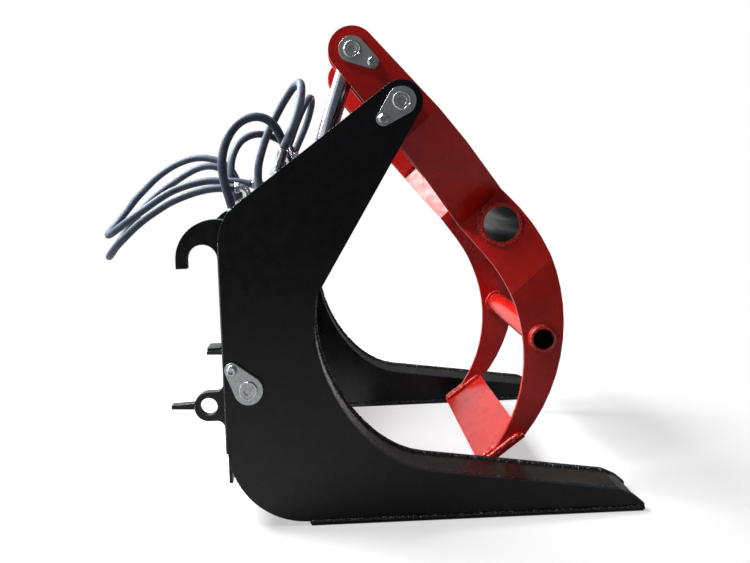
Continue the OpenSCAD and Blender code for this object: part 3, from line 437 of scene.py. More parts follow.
# %% Turned forms and pieces
def add_turned(mesh, start, direction, profile, sides=32, shape=None):
    """A turned form. Profile lists (distance along, radius); shape changes a radius by angle."""
    along = Vector(direction).normalized()
    side = along.orthogonal().normalized()
    other = along.cross(side)
    rings = []
    for d, r in profile:
        radii = [r * (shape(d, a) if shape else 1.0) for a in around(sides)]
        rings.append(add_ring(mesh, Vector(start) + d * along, side, other, radii))
    join_rings(mesh, rings)


def on_circle(centre, radius, degrees):
    """The (x, z) points of a circle at those angles."""
    x, z = centre
    turns = [math.radians(a) for a in degrees]
    return [(x + radius * math.cos(a), z + radius * math.sin(a)) for a in turns]


def piece(name, mesh, material, body, sharp=28):
    """An object made of a bmesh, smooth but for its sharp edges, riding on a body."""
    data = bpy.data.meshes.new(name)
    bmesh.ops.recalc_face_normals(mesh, faces=mesh.faces)
    mesh.to_mesh(data)
    mesh.free()
    data.materials.append(material)
    data.shade_smooth()
    data.set_sharp_from_angle(angle=math.radians(sharp))
    made = add_object(name, data)
    if body:
        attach(made, body)
    return made


top_x, top_z = on_circle((0, 0), 1, [90])[0]
print("90 degrees on a circle is up:", round(top_x, 3), round(top_z, 3))

# %% [markdown]
# ## The hoses
# A free cord is a fixed length of something flexible, so its route comes first. Four short hoses
# join the pipes on the cross tube to the two cylinders, and two long ones lead to the couplers of
# the loader, which are parked in a holder behind the back plate. The routes were worked out with
# the CAD model, and are written here again in millimetres. A smooth curve through the points, which
# leaves each ferrule straight, gives the hose its line.

# %% Routes of the hoses
routes = {}
routes["head_hose_right"] = [
    (-363, -294, 696.6), (-369, -294, 720.7), (-376, -293, 746.8), (-381, -293, 773.9),
    (-383, -293, 803), (-379, -293, 831.1), (-370, -293, 858.2), (-356, -293, 882.3),
    (-337, -292, 901.4), (-314, -289, 912.5), (-290, -285, 914.6), (-267, -279, 905.7),
    (-250, -271, 886.8), (-239, -263, 862.9), (-230, -257, 838),
]
routes["head_hose_left"] = [
    (-390, 61, 701.6), (-399, 60, 727.7), (-405, 60, 755.8), (-407, 62, 782.9), (-406, 68, 810),
    (-400, 77, 834.1), (-391, 89, 855.2), (-379, 105, 872.3), (-363, 123, 884.3),
    (-346, 143, 891.4), (-327, 165, 893.5), (-307, 188, 890.6), (-285, 212, 881.7),
    (-262, 234, 866.8), (-243, 249, 849.9), (-230, 257, 832),
]
routes["base_hose_right"] = [
    (-309, -95, 698.6), (-314, -95, 733.7), (-315, -95, 766.8), (-312, -96, 798.8),
    (-303, -96, 831.9), (-291, -96, 865), (-276, -96, 898.1), (-258, -98, 930.1),
    (-240, -104, 959.2), (-222, -118, 983.3), (-206, -139, 1000.4), (-194, -166, 1006.4),
    (-187, -195, 1000.5), (-185, -222, 981.6), (-188, -244, 953.7), (-196, -261, 921.7),
    (-207, -275, 889.8), (-220, -286, 859.9), (-232, -292, 834),
]
routes["base_hose_left"] = [
    (-300, 95, 702.6), (-288, 95, 730.7), (-276, 95, 758.8), (-264, 96, 787.8), (-252, 96, 816.9),
    (-241, 95, 846), (-229, 95, 877), (-217, 97, 907.1), (-205, 103, 936.2), (-193, 117, 962.3),
    (-182, 137, 983.3), (-174, 163, 995.4), (-169, 191, 997.5), (-168, 217, 988.5),
    (-172, 240, 968.6), (-181, 258, 941.7), (-193, 271, 912.8), (-207, 281, 883.8),
    (-220, 288, 857.9), (-231, 292, 834),
]
routes["supply_hose_right"] = [
    (-400, -60, 739.6), (-430, -60, 740.6), (-459, -60, 738.6), (-494, -60, 731.6),
    (-529, -60, 720.6), (-564, -60, 706.6), (-596, -60, 688.6), (-628, -60, 668.6),
    (-659, -59, 645.6), (-688, -53, 620.6), (-715, -38, 597.6), (-738, -15, 576.6),
    (-755, 15, 562.6), (-766, 49, 556.6), (-769, 81, 560.6), (-763, 109, 576.6), (-750, 130, 601.6),
    (-732, 145, 632.6), (-709, 155, 662.6), (-682, 161, 692.6), (-653, 163, 718.6),
    (-623, 164, 740.6), (-592, 162, 760.6), (-560, 160, 779.6), (-527, 158, 795.6),
    (-493, 155, 803.6), (-459, 153, 798.6), (-428, 151, 776.6), (-408, 150, 743.6),
    (-402, 150, 704.6),
]
routes["supply_hose_left"] = [
    (-348, 20, 747.6), (-386, 20, 754.6), (-426, 20, 758.6), (-467, 20, 760.6), (-506, 20, 755.6),
    (-542, 20, 746.6), (-577, 20, 733.6), (-610, 20, 715.6), (-643, 20, 694.6), (-677, 21, 672.6),
    (-710, 27, 651.6), (-741, 41, 631.6), (-766, 67, 618.6), (-782, 101, 614.6), (-788, 136, 620.6),
    (-781, 168, 636.6), (-766, 191, 658.6), (-745, 203, 685.6), (-720, 206, 715.6),
    (-691, 206, 743.6), (-661, 203, 770.6), (-629, 201, 793.6), (-594, 199, 812.6),
    (-557, 197, 825.6), (-521, 195, 830.6), (-483, 193, 825.6), (-447, 191, 810.6),
    (-420, 190, 783.6), (-405, 190, 746.6), (-402, 190, 704.6),
]
print("points in the hose routes:", {name: len(route) for name, route in routes.items()})

# %% [markdown]
# The hose ends point at something: a tee on a pipe, an elbow on a cylinder, a coupler. These few
# sizes are the same as in the CAD source, and the small function gives a place beside a cylinder
# from its height along it and its distance from the axis, on the side where the ports are.

# %% Places that the hose ends point at
HOSE_D = 21.5 * MM
FERRULE_D = 27 * MM
FERRULE_LEN = 56 * MM
NUT_AF = 27 * MM  # across flats
PIPE_D = 16 * MM
TEE_D = 22.4 * MM
PIPE_X = {"head": -350.25 * MM, "base": -310.25 * MM}
FEEDS = {"head": "supply_hose_right", "base": "supply_hose_left"}  # the hose that feeds each pipe
PIPE_Z = 640.1 * MM
RISER_Z = 658 * MM  # where the tees end and the pipes to the elbows begin
BASE_PIN = (-323.25, 304)  # (x, z) in millimetres
CYLINDER_Y = 293 * MM
TILT = math.radians(19.337)
UP_BARREL = Vector((math.sin(TILT), 0, math.cos(TILT)))
AHEAD_OF_BARREL = Vector((math.cos(TILT), 0, -math.sin(TILT)))
PORT_ANGLE = math.radians(135)
HEAD_PORT = 488 * MM  # heights of the ports above the base pin
BASE_PORT = 59 * MM
DOWN_PIPE_OUT = 47.7 * MM  # distances from the cylinder's axis
ELBOW_FROM = 57.3 * MM
ELBOW_OUT = 70.8 * MM
ELBOW_TO = 81.6 * MM


def beside_barrel(side, height, distance):
    """A point beside a cylinder at the ports' angle."""
    foot = Vector((BASE_PIN[0], 0, BASE_PIN[1])) * MM
    point = foot + height * UP_BARREL + distance * math.cos(PORT_ANGLE) * AHEAD_OF_BARREL
    y = SIDES[side] * (CYLINDER_Y - distance * math.sin(PORT_ANGLE))
    return Vector((point.x, y, point.z))


elbows = {side: beside_barrel(side, HEAD_PORT, ELBOW_OUT) for side in SIDES}
print("elbows at the head ports:", {s: [round(c, 4) for c in at] for s, at in elbows.items()})

# %% Smooth line of a hose, and the hoses as cords
def smooth_path(points, steps=5):
    """A Catmull-Rom curve through the points."""
    ends = [2 * points[0] - points[1]] + points + [2 * points[-1] - points[-2]]
    path = []
    for a, b, c, d in zip(ends, ends[1:], ends[2:], ends[3:]):
        for k in range(steps):
            t = k / steps
            bend = (2 * a - 5 * b + 4 * c - d) * t ** 2
            path.append(0.5 * (2 * b + (c - a) * t + bend + (3 * b - a - 3 * c + d) * t ** 3))
    return path + [points[-1]]


def hose(name, out_direction, end_direction):
    """The hose of a CAD node. The directions point from it into its fittings."""
    points = [Vector(p) * MM for p in routes[name]]
    straight = 0.25 * HOSE_D
    path = smooth_path(
        [points[0], points[0] - straight * Vector(out_direction).normalized()]
        + points[1:-1]
        + [points[-1] - straight * Vector(end_direction).normalized(), points[-1]]
    )
    mesh = bmesh.new()
    add_skin(mesh, path, HOSE_D / 2, sides=20)
    made = piece(name + "_cover", mesh, hose_rubber, None, sharp=60)
    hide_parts(name)
    length = sum((b - a).length for a, b in zip(path, path[1:]))
    print(name, "is", round(length, 3), "m long")
    return made, path, length


for name in ("head_hose_right", "head_hose_left", "base_hose_right", "base_hose_left"):
    kind, side = name.split("_hose_")
    first, last = routes[name][0], routes[name][-1]
    to_tee = (PIPE_X[kind] - first[0] * MM, 0, PIPE_Z - first[2] * MM)
    to_fitting = elbows[side] - Vector(last) * MM if kind == "head" else -UP_BARREL
    made, path, length = hose(name, to_tee, to_fitting)
    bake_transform(made, "frame", "barrel_" + side, start=path[0], end=path[-1])
supply = {}
for name in FEEDS.values():
    supply[name] = hose(name, (1, 0, 0), (0, 0, -1))
    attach(supply[name][0], "frame")

# %% [markdown]
# ## Hose ends
# A hose ends in a ferrule, a steel sleeve that eight jaws have crimped on it, and a hexagon nut.
# The ferrule is a turned form whose radius dips eight times round its middle part, and the nut has
# its corners chamfered, as every real nut has, because that is where the light catches it.

# %% Ferrules, nuts and pipes
def add_ferrule(mesh, point, direction, length):
    """A crimped ferrule from the hose's end along the direction."""
    shares = [
        (0, 0.82), (0.02, 0.95), (0.05, 1), (0.16, 1), (0.19, 0.95), (0.48, 0.94), (0.77, 0.95),
        (0.8, 1), (0.93, 1), (0.96, 0.9), (1, 0.78),
    ]
    profile = [(d * length, r * FERRULE_D / 2) for d, r in shares]

    def jaws(d, angle):
        crimped = 0.18 * length < d < 0.79 * length
        return 1 - 0.055 * max(0.0, math.cos(8 * angle)) if crimped else 1.0

    add_turned(mesh, point, direction, profile, sides=48, shape=jaws)


def add_nut(mesh, point, direction, length, across=NUT_AF):
    """A hexagon with chamfered corners."""
    r = across / 2 / math.cos(math.radians(30))
    c = 0.07 * across
    profile = [(0, 0.9 * r), (c, r), (length - c, r), (length, 0.9 * r)]
    add_turned(mesh, point, direction, profile, sides=6)


def add_hose_end(mesh, point, direction, ferrule):
    """A ferrule of a given length and its nut."""
    direction = Vector(direction).normalized()
    add_ferrule(mesh, point, direction, ferrule)
    add_nut(mesh, point + (ferrule - 0.1 * MM) * direction, direction, NUT_AF / 2)


def add_tee(mesh, x, y):
    """A forged tee on a cross pipe, with a nut on each arm and its branch up."""
    r = TEE_D / 2
    arms = [(0, 0.86 * r), (MM, r), (3.2 * r - MM, r), (3.2 * r, 0.86 * r)]
    add_turned(mesh, (x, y + 1.6 * r, PIPE_Z), (0, -1, 0), arms)
    for sign in (1, -1):
        nut_at = Vector((x, y + sign * 1.55 * r, PIPE_Z))
        add_nut(mesh, nut_at, (0, -sign, 0), 0.9 * r, across=1.75 * r)
    rise = RISER_Z - PIPE_Z
    branch = [(0, 0.9 * r), (rise - MM, 0.9 * r), (rise, 0.8 * r)]
    add_turned(mesh, (x, y, PIPE_Z), (0, 0, 1), branch)


mesh = bmesh.new()
for kind, feed in FEEDS.items():
    x = PIPE_X[kind]
    starts = [Vector(routes[kind + "_hose_" + side][0]) * MM for side in SIDES]
    low_y, high_y = sorted(start.y for start in starts)
    span = high_y - low_y + 2 * PIPE_D
    rim, r = 0.42 * PIPE_D, PIPE_D / 2
    pipe = [(0, rim), (MM, r), (span - MM, r), (span, rim)]
    add_turned(mesh, (x, low_y - PIPE_D, PIPE_Z), (0, 1, 0), pipe)
    for start in starts:
        out = Vector((x, start.y, PIPE_Z)) - start
        add_hose_end(mesh, start, out, out.length - NUT_AF / 2 - TEE_D / 2)
        add_tee(mesh, x, start.y)
    add_tee(mesh, x, routes[feed][0][1] * MM)
pipes = piece("cross_pipes_plated", mesh, bright_zinc, "frame")
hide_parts("cross_pipes")
print("cross pipes:", len(pipes.data.vertices), "points")

# %% [markdown]
# Steel pipes carry the oil where nothing bends: in the elbows of the long hoses, and down each
# cylinder to its base port. Curve objects with a round bevel could make them. A skin along a
# quarter circle or a Bezier curve was chosen, so that every piece is a plain mesh.

# %% Elbows of the long hoses
mesh = bmesh.new()
sleeves = bmesh.new()
bend_r = 1.2 * PIPE_D
for kind, feed in FEEDS.items():
    x = PIPE_X[kind]
    start = Vector(routes[feed][0]) * MM
    ferrule = x - bend_r - start.x - NUT_AF / 2
    add_ferrule(sleeves, start, (1, 0, 0), ferrule)
    add_nut(mesh, start + Vector((ferrule - 0.1 * MM, 0, 0)), (1, 0, 0), NUT_AF / 2)
    bend = on_circle((x - bend_r, start.z - bend_r), bend_r, range(90, -1, -10))
    bend = [(x - 1.6 * bend_r, start.z)] + bend + [(x, start.z - 1.6 * bend_r)]
    add_skin(mesh, [(bx, start.y, bz) for bx, bz in bend], TEE_D / 2 - 0.2 * MM, sides=32)
    rise = start.z - 1.2 * bend_r - RISER_Z
    add_turned(mesh, (x, start.y, RISER_Z), (0, 0, 1), [(0, PIPE_D / 2), (rise, PIPE_D / 2)])
    add_nut(mesh, (x, start.y, RISER_Z), (0, 0, 1), 0.45 * NUT_AF, across=0.9 * NUT_AF)
elbow_piece = piece("supply_elbows_plated", mesh, bright_zinc, "frame")
ferrule_piece = piece("supply_ferrules_black", sleeves, dark_zinc, "frame")
for made in (elbow_piece, ferrule_piece):
    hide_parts("supply_fittings")
print("elbows:", len(elbow_piece.data.vertices), "points")

# %% Pipes and hose ends on the cylinders
def barrel_pipework(side):
    """The hose ends on one cylinder and the steel pipe that runs down it to the base port."""
    mesh = bmesh.new()
    hose_end_at = Vector(routes["base_hose_" + side][-1]) * MM
    add_hose_end(mesh, hose_end_at, -UP_BARREL, FERRULE_LEN)
    top = hose_end_at - (FERRULE_LEN + NUT_AF / 2 - MM) * UP_BARREL
    low = beside_barrel(side, 356 * MM, DOWN_PIPE_OUT)  # from here the pipe runs straight
    reach = 3 * PIPE_D * UP_BARREL
    line = [top + 0.25 * PIPE_D * UP_BARREL]
    for k in range(17):  # a Bezier curve with its handles along the barrel
        t = k / 16
        u = 1 - t
        upper = u ** 3 * top + 3 * u * u * t * (top - reach)
        line.append(upper + 3 * u * t * t * (low + reach) + t ** 3 * low)
    line.append(beside_barrel(side, BASE_PORT, DOWN_PIPE_OUT))
    add_skin(mesh, line, PIPE_D / 2, sides=24)
    end = Vector(routes["head_hose_" + side][-1]) * MM
    to_elbow = elbows[side] - end
    add_hose_end(mesh, end, to_elbow, to_elbow.length - NUT_AF / 2)
    port = beside_barrel(side, HEAD_PORT, ELBOW_FROM)
    out = beside_barrel(side, HEAD_PORT, ELBOW_TO) - port
    r = 12.6 * MM
    body = [(0, 0.9 * r), (MM, r), (out.length - 2 * MM, r), (out.length, 0.82 * r)]
    add_turned(mesh, port, out, body)
    return mesh


for side in SIDES:
    made = piece("barrel_pipework_" + side, barrel_pipework(side), bright_zinc, "barrel_" + side)
    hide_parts("barrel_fittings_" + side)
    print(made.name, len(made.data.vertices), "points")

# %% [markdown]
# ## Couplers
# The long hoses end in the male halves of flat-faced quick couplers, with a knurled sleeve that a
# gloved hand can turn. The knurl is 28 shallow flutes round the sleeve.

# %% Couplers at the ends of the long hoses
HOLDER_TOP = 603.9 * MM


def coupler(name, hose_end):
    """A coupler half that stands in its holder."""
    mesh = bmesh.new()
    end = Vector(hose_end) * MM
    down = Vector((0, 0, -1))
    add_hose_end(mesh, end, down, FERRULE_LEN / 2)
    top = end.z - FERRULE_LEN / 2 - NUT_AF / 2
    length = top - HOLDER_TOP
    r = 0.6 * NUT_AF

    def flutes(d, angle):
        knurled = 0.2 * length < d < 0.75 * length
        return 1 - 0.03 * max(0.0, math.cos(28 * angle)) if knurled else 1.0

    sleeve = [
        (0, 0.8 * r), (MM, 0.9 * r), (0.14 * length, 0.9 * r), (0.17 * length, r),
        (0.5 * length, r), (0.78 * length, r), (0.81 * length, 0.92 * r),
        (0.97 * length, 0.92 * r), (length, 0.84 * r),
    ]
    add_turned(mesh, (end.x, end.y, top), down, sleeve, sides=112, shape=flutes)
    nose = 10.4 * MM
    shares = [(0, 1), (0.3, 1), (0.34, 0.9), (0.44, 0.9), (0.48, 1), (0.96, 1), (1, 0.9)]
    plug = [(d * 4 * nose, across * nose) for d, across in shares]
    add_turned(mesh, (end.x, end.y, HOLDER_TOP), down, plug)
    made = piece(name, mesh, bright_zinc, "frame")
    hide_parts("quick_couplers")
    return made


for name, (made, path, length) in supply.items():
    end_piece = coupler(name.replace("supply_hose", "coupler"), routes[name][-1])
    print(end_piece.name, "has", len(end_piece.data.vertices), "points")

# %% [markdown]
# ## Plates with real edges
# A plate that is cut by a torch and dressed by a grinder has no sharp edge: it ends in a narrow
# chamfer, about 1 mm wide, and that thin bright line is most of what the eye reads on black paint.
# The CAD plates are copied, their flat triangles are joined into whole faces, and a bevel with
# hardened normals rounds every edge but keeps the flats flat.

# %% Dressing a CAD node
def cad_body(node):
    """The body that a CAD node rides on."""
    body = body_of(frame["nodes"][node])
    return body if isinstance(body, str) else body[0]


# Bevels take a paler finish, a painted highlight; pins and flags get bright zinc on their edges.
edge_highlight_finish = {
    black_enamel: black_edge_painted_highlight, throat_enamel: throat_edge_painted_highlight, red_enamel: red_edge_painted_highlight,
    dull_zinc: bright_zinc,
}


def dressed(node, material, edge=1.1, angle=14, inside=None, axis=None):
    """A CAD node with bevelled edges and a finish. Inside is the finish of a bore round an axis."""
    source = frame["nodes"][node]
    mesh = bmesh.new()
    mesh.from_mesh(source.data)
    mesh.transform(source.matrix_world)
    bmesh.ops.remove_doubles(mesh, verts=mesh.verts, dist=0.02 * MM)
    bmesh.ops.dissolve_limit(
        mesh, angle_limit=math.radians(0.3), verts=mesh.verts, edges=mesh.edges
    )
    if inside:
        centre = Vector((axis[0], 0, axis[1])) * MM
        for face in mesh.faces:
            spoke = face.calc_center_median() - centre
            spoke.y = 0
            faces_axis = face.normal.dot(spoke) < 0 and abs(face.normal.y) < 0.5
            face.material_index = 2 if faces_axis else 0
    data = bpy.data.meshes.new(node + "_dressed")
    mesh.to_mesh(data)
    mesh.free()
    for finish in (material, edge_highlight_finish.get(material, material), inside or material):
        data.materials.append(finish)
    data.shade_smooth()
    made = add_object(node + "_dressed", data)
    bevel = made.modifiers.new("chamfer", "BEVEL")
    bevel.width = edge * MM
    bevel.segments = 2
    bevel.limit_method = "ANGLE"
    bevel.angle_limit = math.radians(angle)
    bevel.harden_normals = True
    # the bevel faces take the paler edge finish, a painted highlight
    bevel.material = 1
    flats = made.modifiers.new("flat faces stay flat", "WEIGHTED_NORMAL")
    flats.keep_sharp = True
    flats.weight = 90
    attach(made, cad_body(node))
    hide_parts(node)
    return made


print("the push plate rides on the body", cad_body("push_plate"))

# %% The frame and the barrels
for side in SIDES:
    for part in ("side_plate_outer_", "side_plate_inner_", "wear_plate_", "hitch_plate_"):
        dressed(part + side, black_enamel)
    dressed("throat_strip_" + side, throat_enamel, edge=0.8)
    dressed("barrel_" + side, black_enamel, edge=1.0)
    dressed("gland_" + side, black_enamel, edge=0.8)
for part in ("back_plate", "upper_cross_tube", "lower_cross_tube", "guide_horns", "stop_bars",
             "cylinder_lugs", "coupler_holder"):
    dressed(part, black_enamel, edge=1.3 if "tube" in part else 1.0)


def count_of(letters):
    """The number of objects with these letters in their names."""
    return len([o for o in bpy.data.objects if letters in o.name])


print("frame and barrels dressed:", count_of("_dressed"), "pieces")

# %% The clamp, its tubes and its bearings
WAIST_TUBE = (303.75, 622)  # the middles of the tubes
LOWER_TUBE = (383.75, 338)
for side in SIDES:
    for part in ("clamp_plate_", "clamp_lug_"):
        dressed(part + side, red_enamel, edge=1.2)
    dressed("clamp_hub_" + side, red_enamel, edge=0.4)
dressed("push_plate", red_enamel, edge=1.2)
dressed("waist_tube", red_enamel, edge=1.0, inside=bare_scale, axis=WAIST_TUBE)
dressed("lower_tube", red_enamel, edge=1.0, inside=bare_scale, axis=LOWER_TUBE)
for side in SIDES:
    dressed("piston_rod_" + side, hard_chrome, edge=0.6)
    dressed("rod_eye_" + side, turned_steel, edge=1.0)
    dressed("piston_" + side, turned_steel, edge=0.5)
    for part in ("pivot_pin_", "base_pin_", "rod_pin_"):
        dressed(part + side, dull_zinc, edge=0.7, angle=20)
dressed("pin_sleeves", turned_steel, edge=0.6)
dressed("clamp_bushes", bearing_bronze, edge=0.4)
print("dressed in all:", count_of("_dressed"), "pieces")

# %% [markdown]
# ## Weld beads
# The whole grapple is welded, and the beads tell how it was made. A bead is a row of small puddles,
# each laid on the one before, so it is modelled as a skin along a line whose radius swells at each
# puddle and wanders a little. The wandering comes from Blender's own noise, so it is the same at
# every run.

# %% Beads along lines
def spaced(line, step):
    """Points at even steps along a line."""
    points = [Vector(p) for p in line]
    path = [points[0]]
    left = step
    for a, b in zip(points, points[1:]):
        length = (b - a).length
        at = left
        while at <= length:
            path.append(a.lerp(b, at / length))
            at += step
        left = at - length
    return path


def add_bead(mesh, line, width, puddle, lump, closed):
    """One weld bead along a line in metres. Width and puddle are in millimetres."""
    path = spaced(line, puddle / 3 * MM)
    if closed:
        path = path[:-1]

    def puddles(i, angle):
        at = path[i]
        swell = 0.90 + 0.10 * math.cos(2 * math.pi * i / 3)
        # lumps of about 6 mm, and finer ones of 2 mm
        wander = noise.noise(at * 160.0 + Vector((angle, 0, 0))) + 0.5 * noise.noise(at * 600.0)
        taper = 1.0 if closed else min(1.0, 0.45 + 0.25 * min(i, len(path) - 1 - i))
        return width / 2 * MM * (swell + lump * wander) * taper

    add_skin(mesh, path, puddles, sides=8, closed=closed)


def weld(name, lines, body, width, puddle=4.5, lump=0.22, closed=False, finish=None):
    """A piece made of several beads, given in millimetres."""
    mesh = bmesh.new()
    for line in lines:
        add_bead(mesh, [Vector(p) * MM for p in line], width, puddle, lump, closed)
    finish = finish or {"frame": black_weld, "clamp": red_weld}[body]
    return piece(name, mesh, finish, body, sharp=70)


print("steps of 1 along a line of 3.5:", len(spaced([(0, 0, 0), (3.5, 0, 0)], 1)), "points")

# %% [markdown]
# Along the throat each strip has two beads, a narrow one on the edge nearer the camera and a wide
# one on the other. The soles, the hitch plates, the side boxes and the horns have theirs too.

# %% Beads on the frame
def inset(points, distance):
    """A line in the XZ plane moved to its left by a distance."""
    moved = []
    for i, (x, z) in enumerate(points):
        ax, az = points[max(i - 1, 0)]
        bx, bz = points[min(i + 1, len(points) - 1)]
        length = math.hypot(bx - ax, bz - az)
        moved.append((x - distance * (bz - az) / length, z + distance * (bx - ax) / length))
    return moved


throat_line = [  # (x, z) along the middle of a throat strip, from the tine's tip up
    (516.8, 32), (485.8, 47), (63.8, 107), (37, 113.1), (10.9, 123.4), (-14.2, 137.6),
    (-38.2, 155.1), (-60.9, 175.7), (-82.1, 198.9), (-101.6, 224.4), (-119.1, 251.6),
    (-134.5, 280.2), (-147.5, 309.8), (-158, 340), (-165.8, 370.3), (-170.6, 400.5),
    (-172.3, 430), (-166.3, 499),
]
BOX_OUT = 459.5  # distances of a side box's faces from the middle of the grapple
BOX_IN = 335.5
BACK_X = -377
HITCH_FACES = (257.5, 276.5)
narrow_line = inset(throat_line, 2.0)
wide_line = inset([(503, 38.7)] + throat_line[1:], 3.0)
for side, sign in SIDES.items():
    near_y, far_y = (BOX_OUT - 10.5, BOX_IN + 15.5) if sign < 0 else (BOX_IN + 10.5, BOX_OUT - 15.5)
    narrow = [[(x, sign * near_y, z) for x, z in narrow_line]]
    weld("throat_weld_narrow_" + side, narrow, "frame", 5.0, lump=0.3)
    wide = [[(x, sign * far_y, z) for x, z in wide_line]]
    weld("throat_weld_wide_" + side, wide, "frame", 13.0, puddle=6.0, lump=0.35)
    sole = [
        [(x, sign * y, 9.0) for x in (-198, 0, 250, 528)] for y in (BOX_OUT + 1.6, BOX_IN - 1.6)
    ]
    heel_y = sign * (BOX_OUT + 1)
    sole.append([(-199, heel_y, 3), (-199, heel_y, 9), (-190, heel_y, 9.5)])
    weld("sole_weld_" + side, sole, "frame", 6.6, puddle=5.0, lump=0.4)
    back = [[(BACK_X, sign * y, z) for z in (97, 300, 568)] for y in HITCH_FACES]
    back.append([(BACK_X, sign * (BOX_OUT - 10), z) for z in (185, 400, 628)])
    weld("back_weld_" + side, back, "frame", 6.0)
    horn = [
        [(-477 + dx, sign * y, 213 + dz) for dx, dz in ((3, -9), (0, 0), (3, 9))]
        for y in (HITCH_FACES[0] - 1.1, HITCH_FACES[1] + 1.1)
    ]
    weld("horn_weld_" + side, horn, "frame", 4.5)
print("weld pieces on the frame:", count_of("_weld_"))

# %% [markdown]
# The clamp plates are folded, so a weld round a tube climbs with the plate. The fold lines are
# known from the CAD source, and give the height of the plate's outer face above the middle at any
# point. A collar of three beads fills the corner round each tube's end.

# %% Beads on the clamp
PIVOT = (41.75, 924)
FOLD_SLOPE = math.radians(39.5)
fold_line = [
    (-387, -327), (73.1, -327), (178.9, -287.1), (343.9, -167.5), (462.6, -224.9),
    (540, -249.5), (945.8, -262),
]


def plate_y(x, z):
    """The Y of the right clamp plate's outer face beside a point of the XZ plane."""
    s = (x - PIVOT[0]) * math.sin(FOLD_SLOPE) - (z - PIVOT[1]) * math.cos(FOLD_SLOPE)
    for (s0, y0), (s1, y1) in zip(fold_line, fold_line[1:]):
        if s0 <= s <= s1:
            return y0 + (y1 - y0) * (s - s0) / (s1 - s0)
    return fold_line[-1][1]


FULL_TURN = [7.5 * k for k in range(49)]  # degrees


def on_plate(points, sign, depth):
    """The points (x, z) on a clamp plate, that deep under its outer face."""
    return [(x, -sign * (plate_y(x, z) + depth), z) for x, z in points]


def collar(centre, radius, sign, tube_end):
    """Three lines that fill the corner between a clamp plate's outer face and a tube's end."""
    lines = []
    for share in (0.1, 0.5, 0.85):
        ring = on_circle(centre, radius + 2.5 - 4.0 * share, FULL_TURN)
        lines.append([
            (x, sign * (share * tube_end - (1 - share) * plate_y(x, z)), z) for x, z in ring
        ])
    return lines


WAIST_R, WAIST_END = 50.8, 219.0
LOWER_R, LOWER_END = 30.15, 267.7
PUSH_END = 265.0
push_foot = [Vector((213.5, 36.0)).lerp(Vector((316.0, 107.5)), t / 8) for t in range(9)]
for side, sign in SIDES.items():
    rings = collar(WAIST_TUBE, WAIST_R, sign, WAIST_END)
    weld("waist_weld_" + side, rings, "clamp", 8.0, lump=0.5, closed=True)
    drips = on_plate(on_circle(WAIST_TUBE, WAIST_R + 2.2, range(195, 281, 5)), sign, -3)
    weld("waist_weld_blobs_" + side, [drips], "clamp", 11.0, puddle=8.0, lump=0.9)
    ring = on_plate(on_circle(WAIST_TUBE, WAIST_R + 1.2, FULL_TURN), sign, 12.0)
    weld("waist_weld_inside_" + side, [ring], "clamp", 8.0, lump=0.35, closed=True)
    rings = collar(LOWER_TUBE, LOWER_R, sign, LOWER_END)
    weld("lower_tube_weld_" + side, rings, "clamp", 8.5, lump=0.2, closed=True)
    ring = on_plate(on_circle(LOWER_TUBE, LOWER_R + 1.85, FULL_TURN), sign, 12.5)
    weld("lower_tube_weld_inside_" + side, [ring], "clamp", 11.0, lump=0.3, closed=True)
    outer = [(x, sign * PUSH_END, z + 2) for x, z in push_foot]
    inner = [(x, -sign * (plate_y(x, z) + 13), z + 3) for x, z in push_foot]
    weld("push_plate_weld_" + side, [outer, inner], "clamp", 15.0, puddle=7.0, lump=0.3)
print("weld pieces on frame and clamp:", count_of("_weld_"))

# %% [markdown]
# ## Pin ends and bolts
# Each pin is welded into a teardrop flag, and one bolt holds the flag, so that the pin can't turn
# or walk out. Round the pin's end runs the weld, rough and grey. The bolt is an M12 with a flange
# under its hexagon head, whose corners are chamfered and whose top is dished.

# %% Pins and bolts
ROD_PIN = (-57.25, 1062)
BOX_FLAG = BOX_OUT + 8  # distances of the flags' outer faces from the middle
LUG_FLAG = 335
PIN_END_R = 18.2
pin_ends = [
    ("pivot", PIVOT, BOX_FLAG, "frame"),
    ("base", BASE_PIN, BOX_FLAG, "frame"),
    ("rod", ROD_PIN, LUG_FLAG, "clamp"),
]
for part, centre, face, body in pin_ends:
    circle = on_circle(centre, PIN_END_R, range(0, 361, 10))
    for side, sign in SIDES.items():
        ring = [(x, sign * (face + 1.2), z) for x, z in circle]
        weld(
            part + "_pin_weld_" + side, [ring], body, 5.4, puddle=4.0, lump=0.45, closed=True,
            finish=bright_zinc,
        )
CORNER = 9.5 / math.cos(math.radians(30))  # 19 mm across flats
BOLT_FORMS = [  # height above the flag, sides, and profile
    (0, 32, [(0, 11.6), (0.3, 12), (1.2, 12), (4.2, 9.4)]),
    (2.5, 6, [(0, 1), (5.4, 1), (7.0, 0.86), (7.4, 0.74), (6.6, 0.5)]),
    (-18, 32, [(0, 5.4), (1, 6), (18, 6)]),
]


def bolt_set(name, places, face, body, cad_node):
    """Flanged bolts at (x, z) on the flags of both sides."""
    mesh = bmesh.new()
    for x, z in places:
        for sign in SIDES.values():
            out = Vector((0, sign, 0))
            at = Vector((x, sign * face, z)) * MM
            for height, sides, form in BOLT_FORMS:
                unit = CORNER * MM if sides == 6 else MM
                profile = [(d * MM, r * unit) for d, r in form]
                add_turned(mesh, at + height * MM * out, out, profile, sides=sides)
    made = piece(name, mesh, bright_zinc, body)
    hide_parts(cad_node)
    return made


frame_bolts = bolt_set(
    "frame_flag_bolts", [(-0.34, 885.57), (-357.71, 349.4)], BOX_FLAG, "frame", "frame_pin_bolts"
)
clamp_bolts = bolt_set(
    "clamp_flag_bolts", [(-10.73, 1029.06)], LUG_FLAG, "clamp", "clamp_pin_bolts"
)
print("bolts:", len(frame_bolts.data.vertices) + len(clamp_bolts.data.vertices), "points")

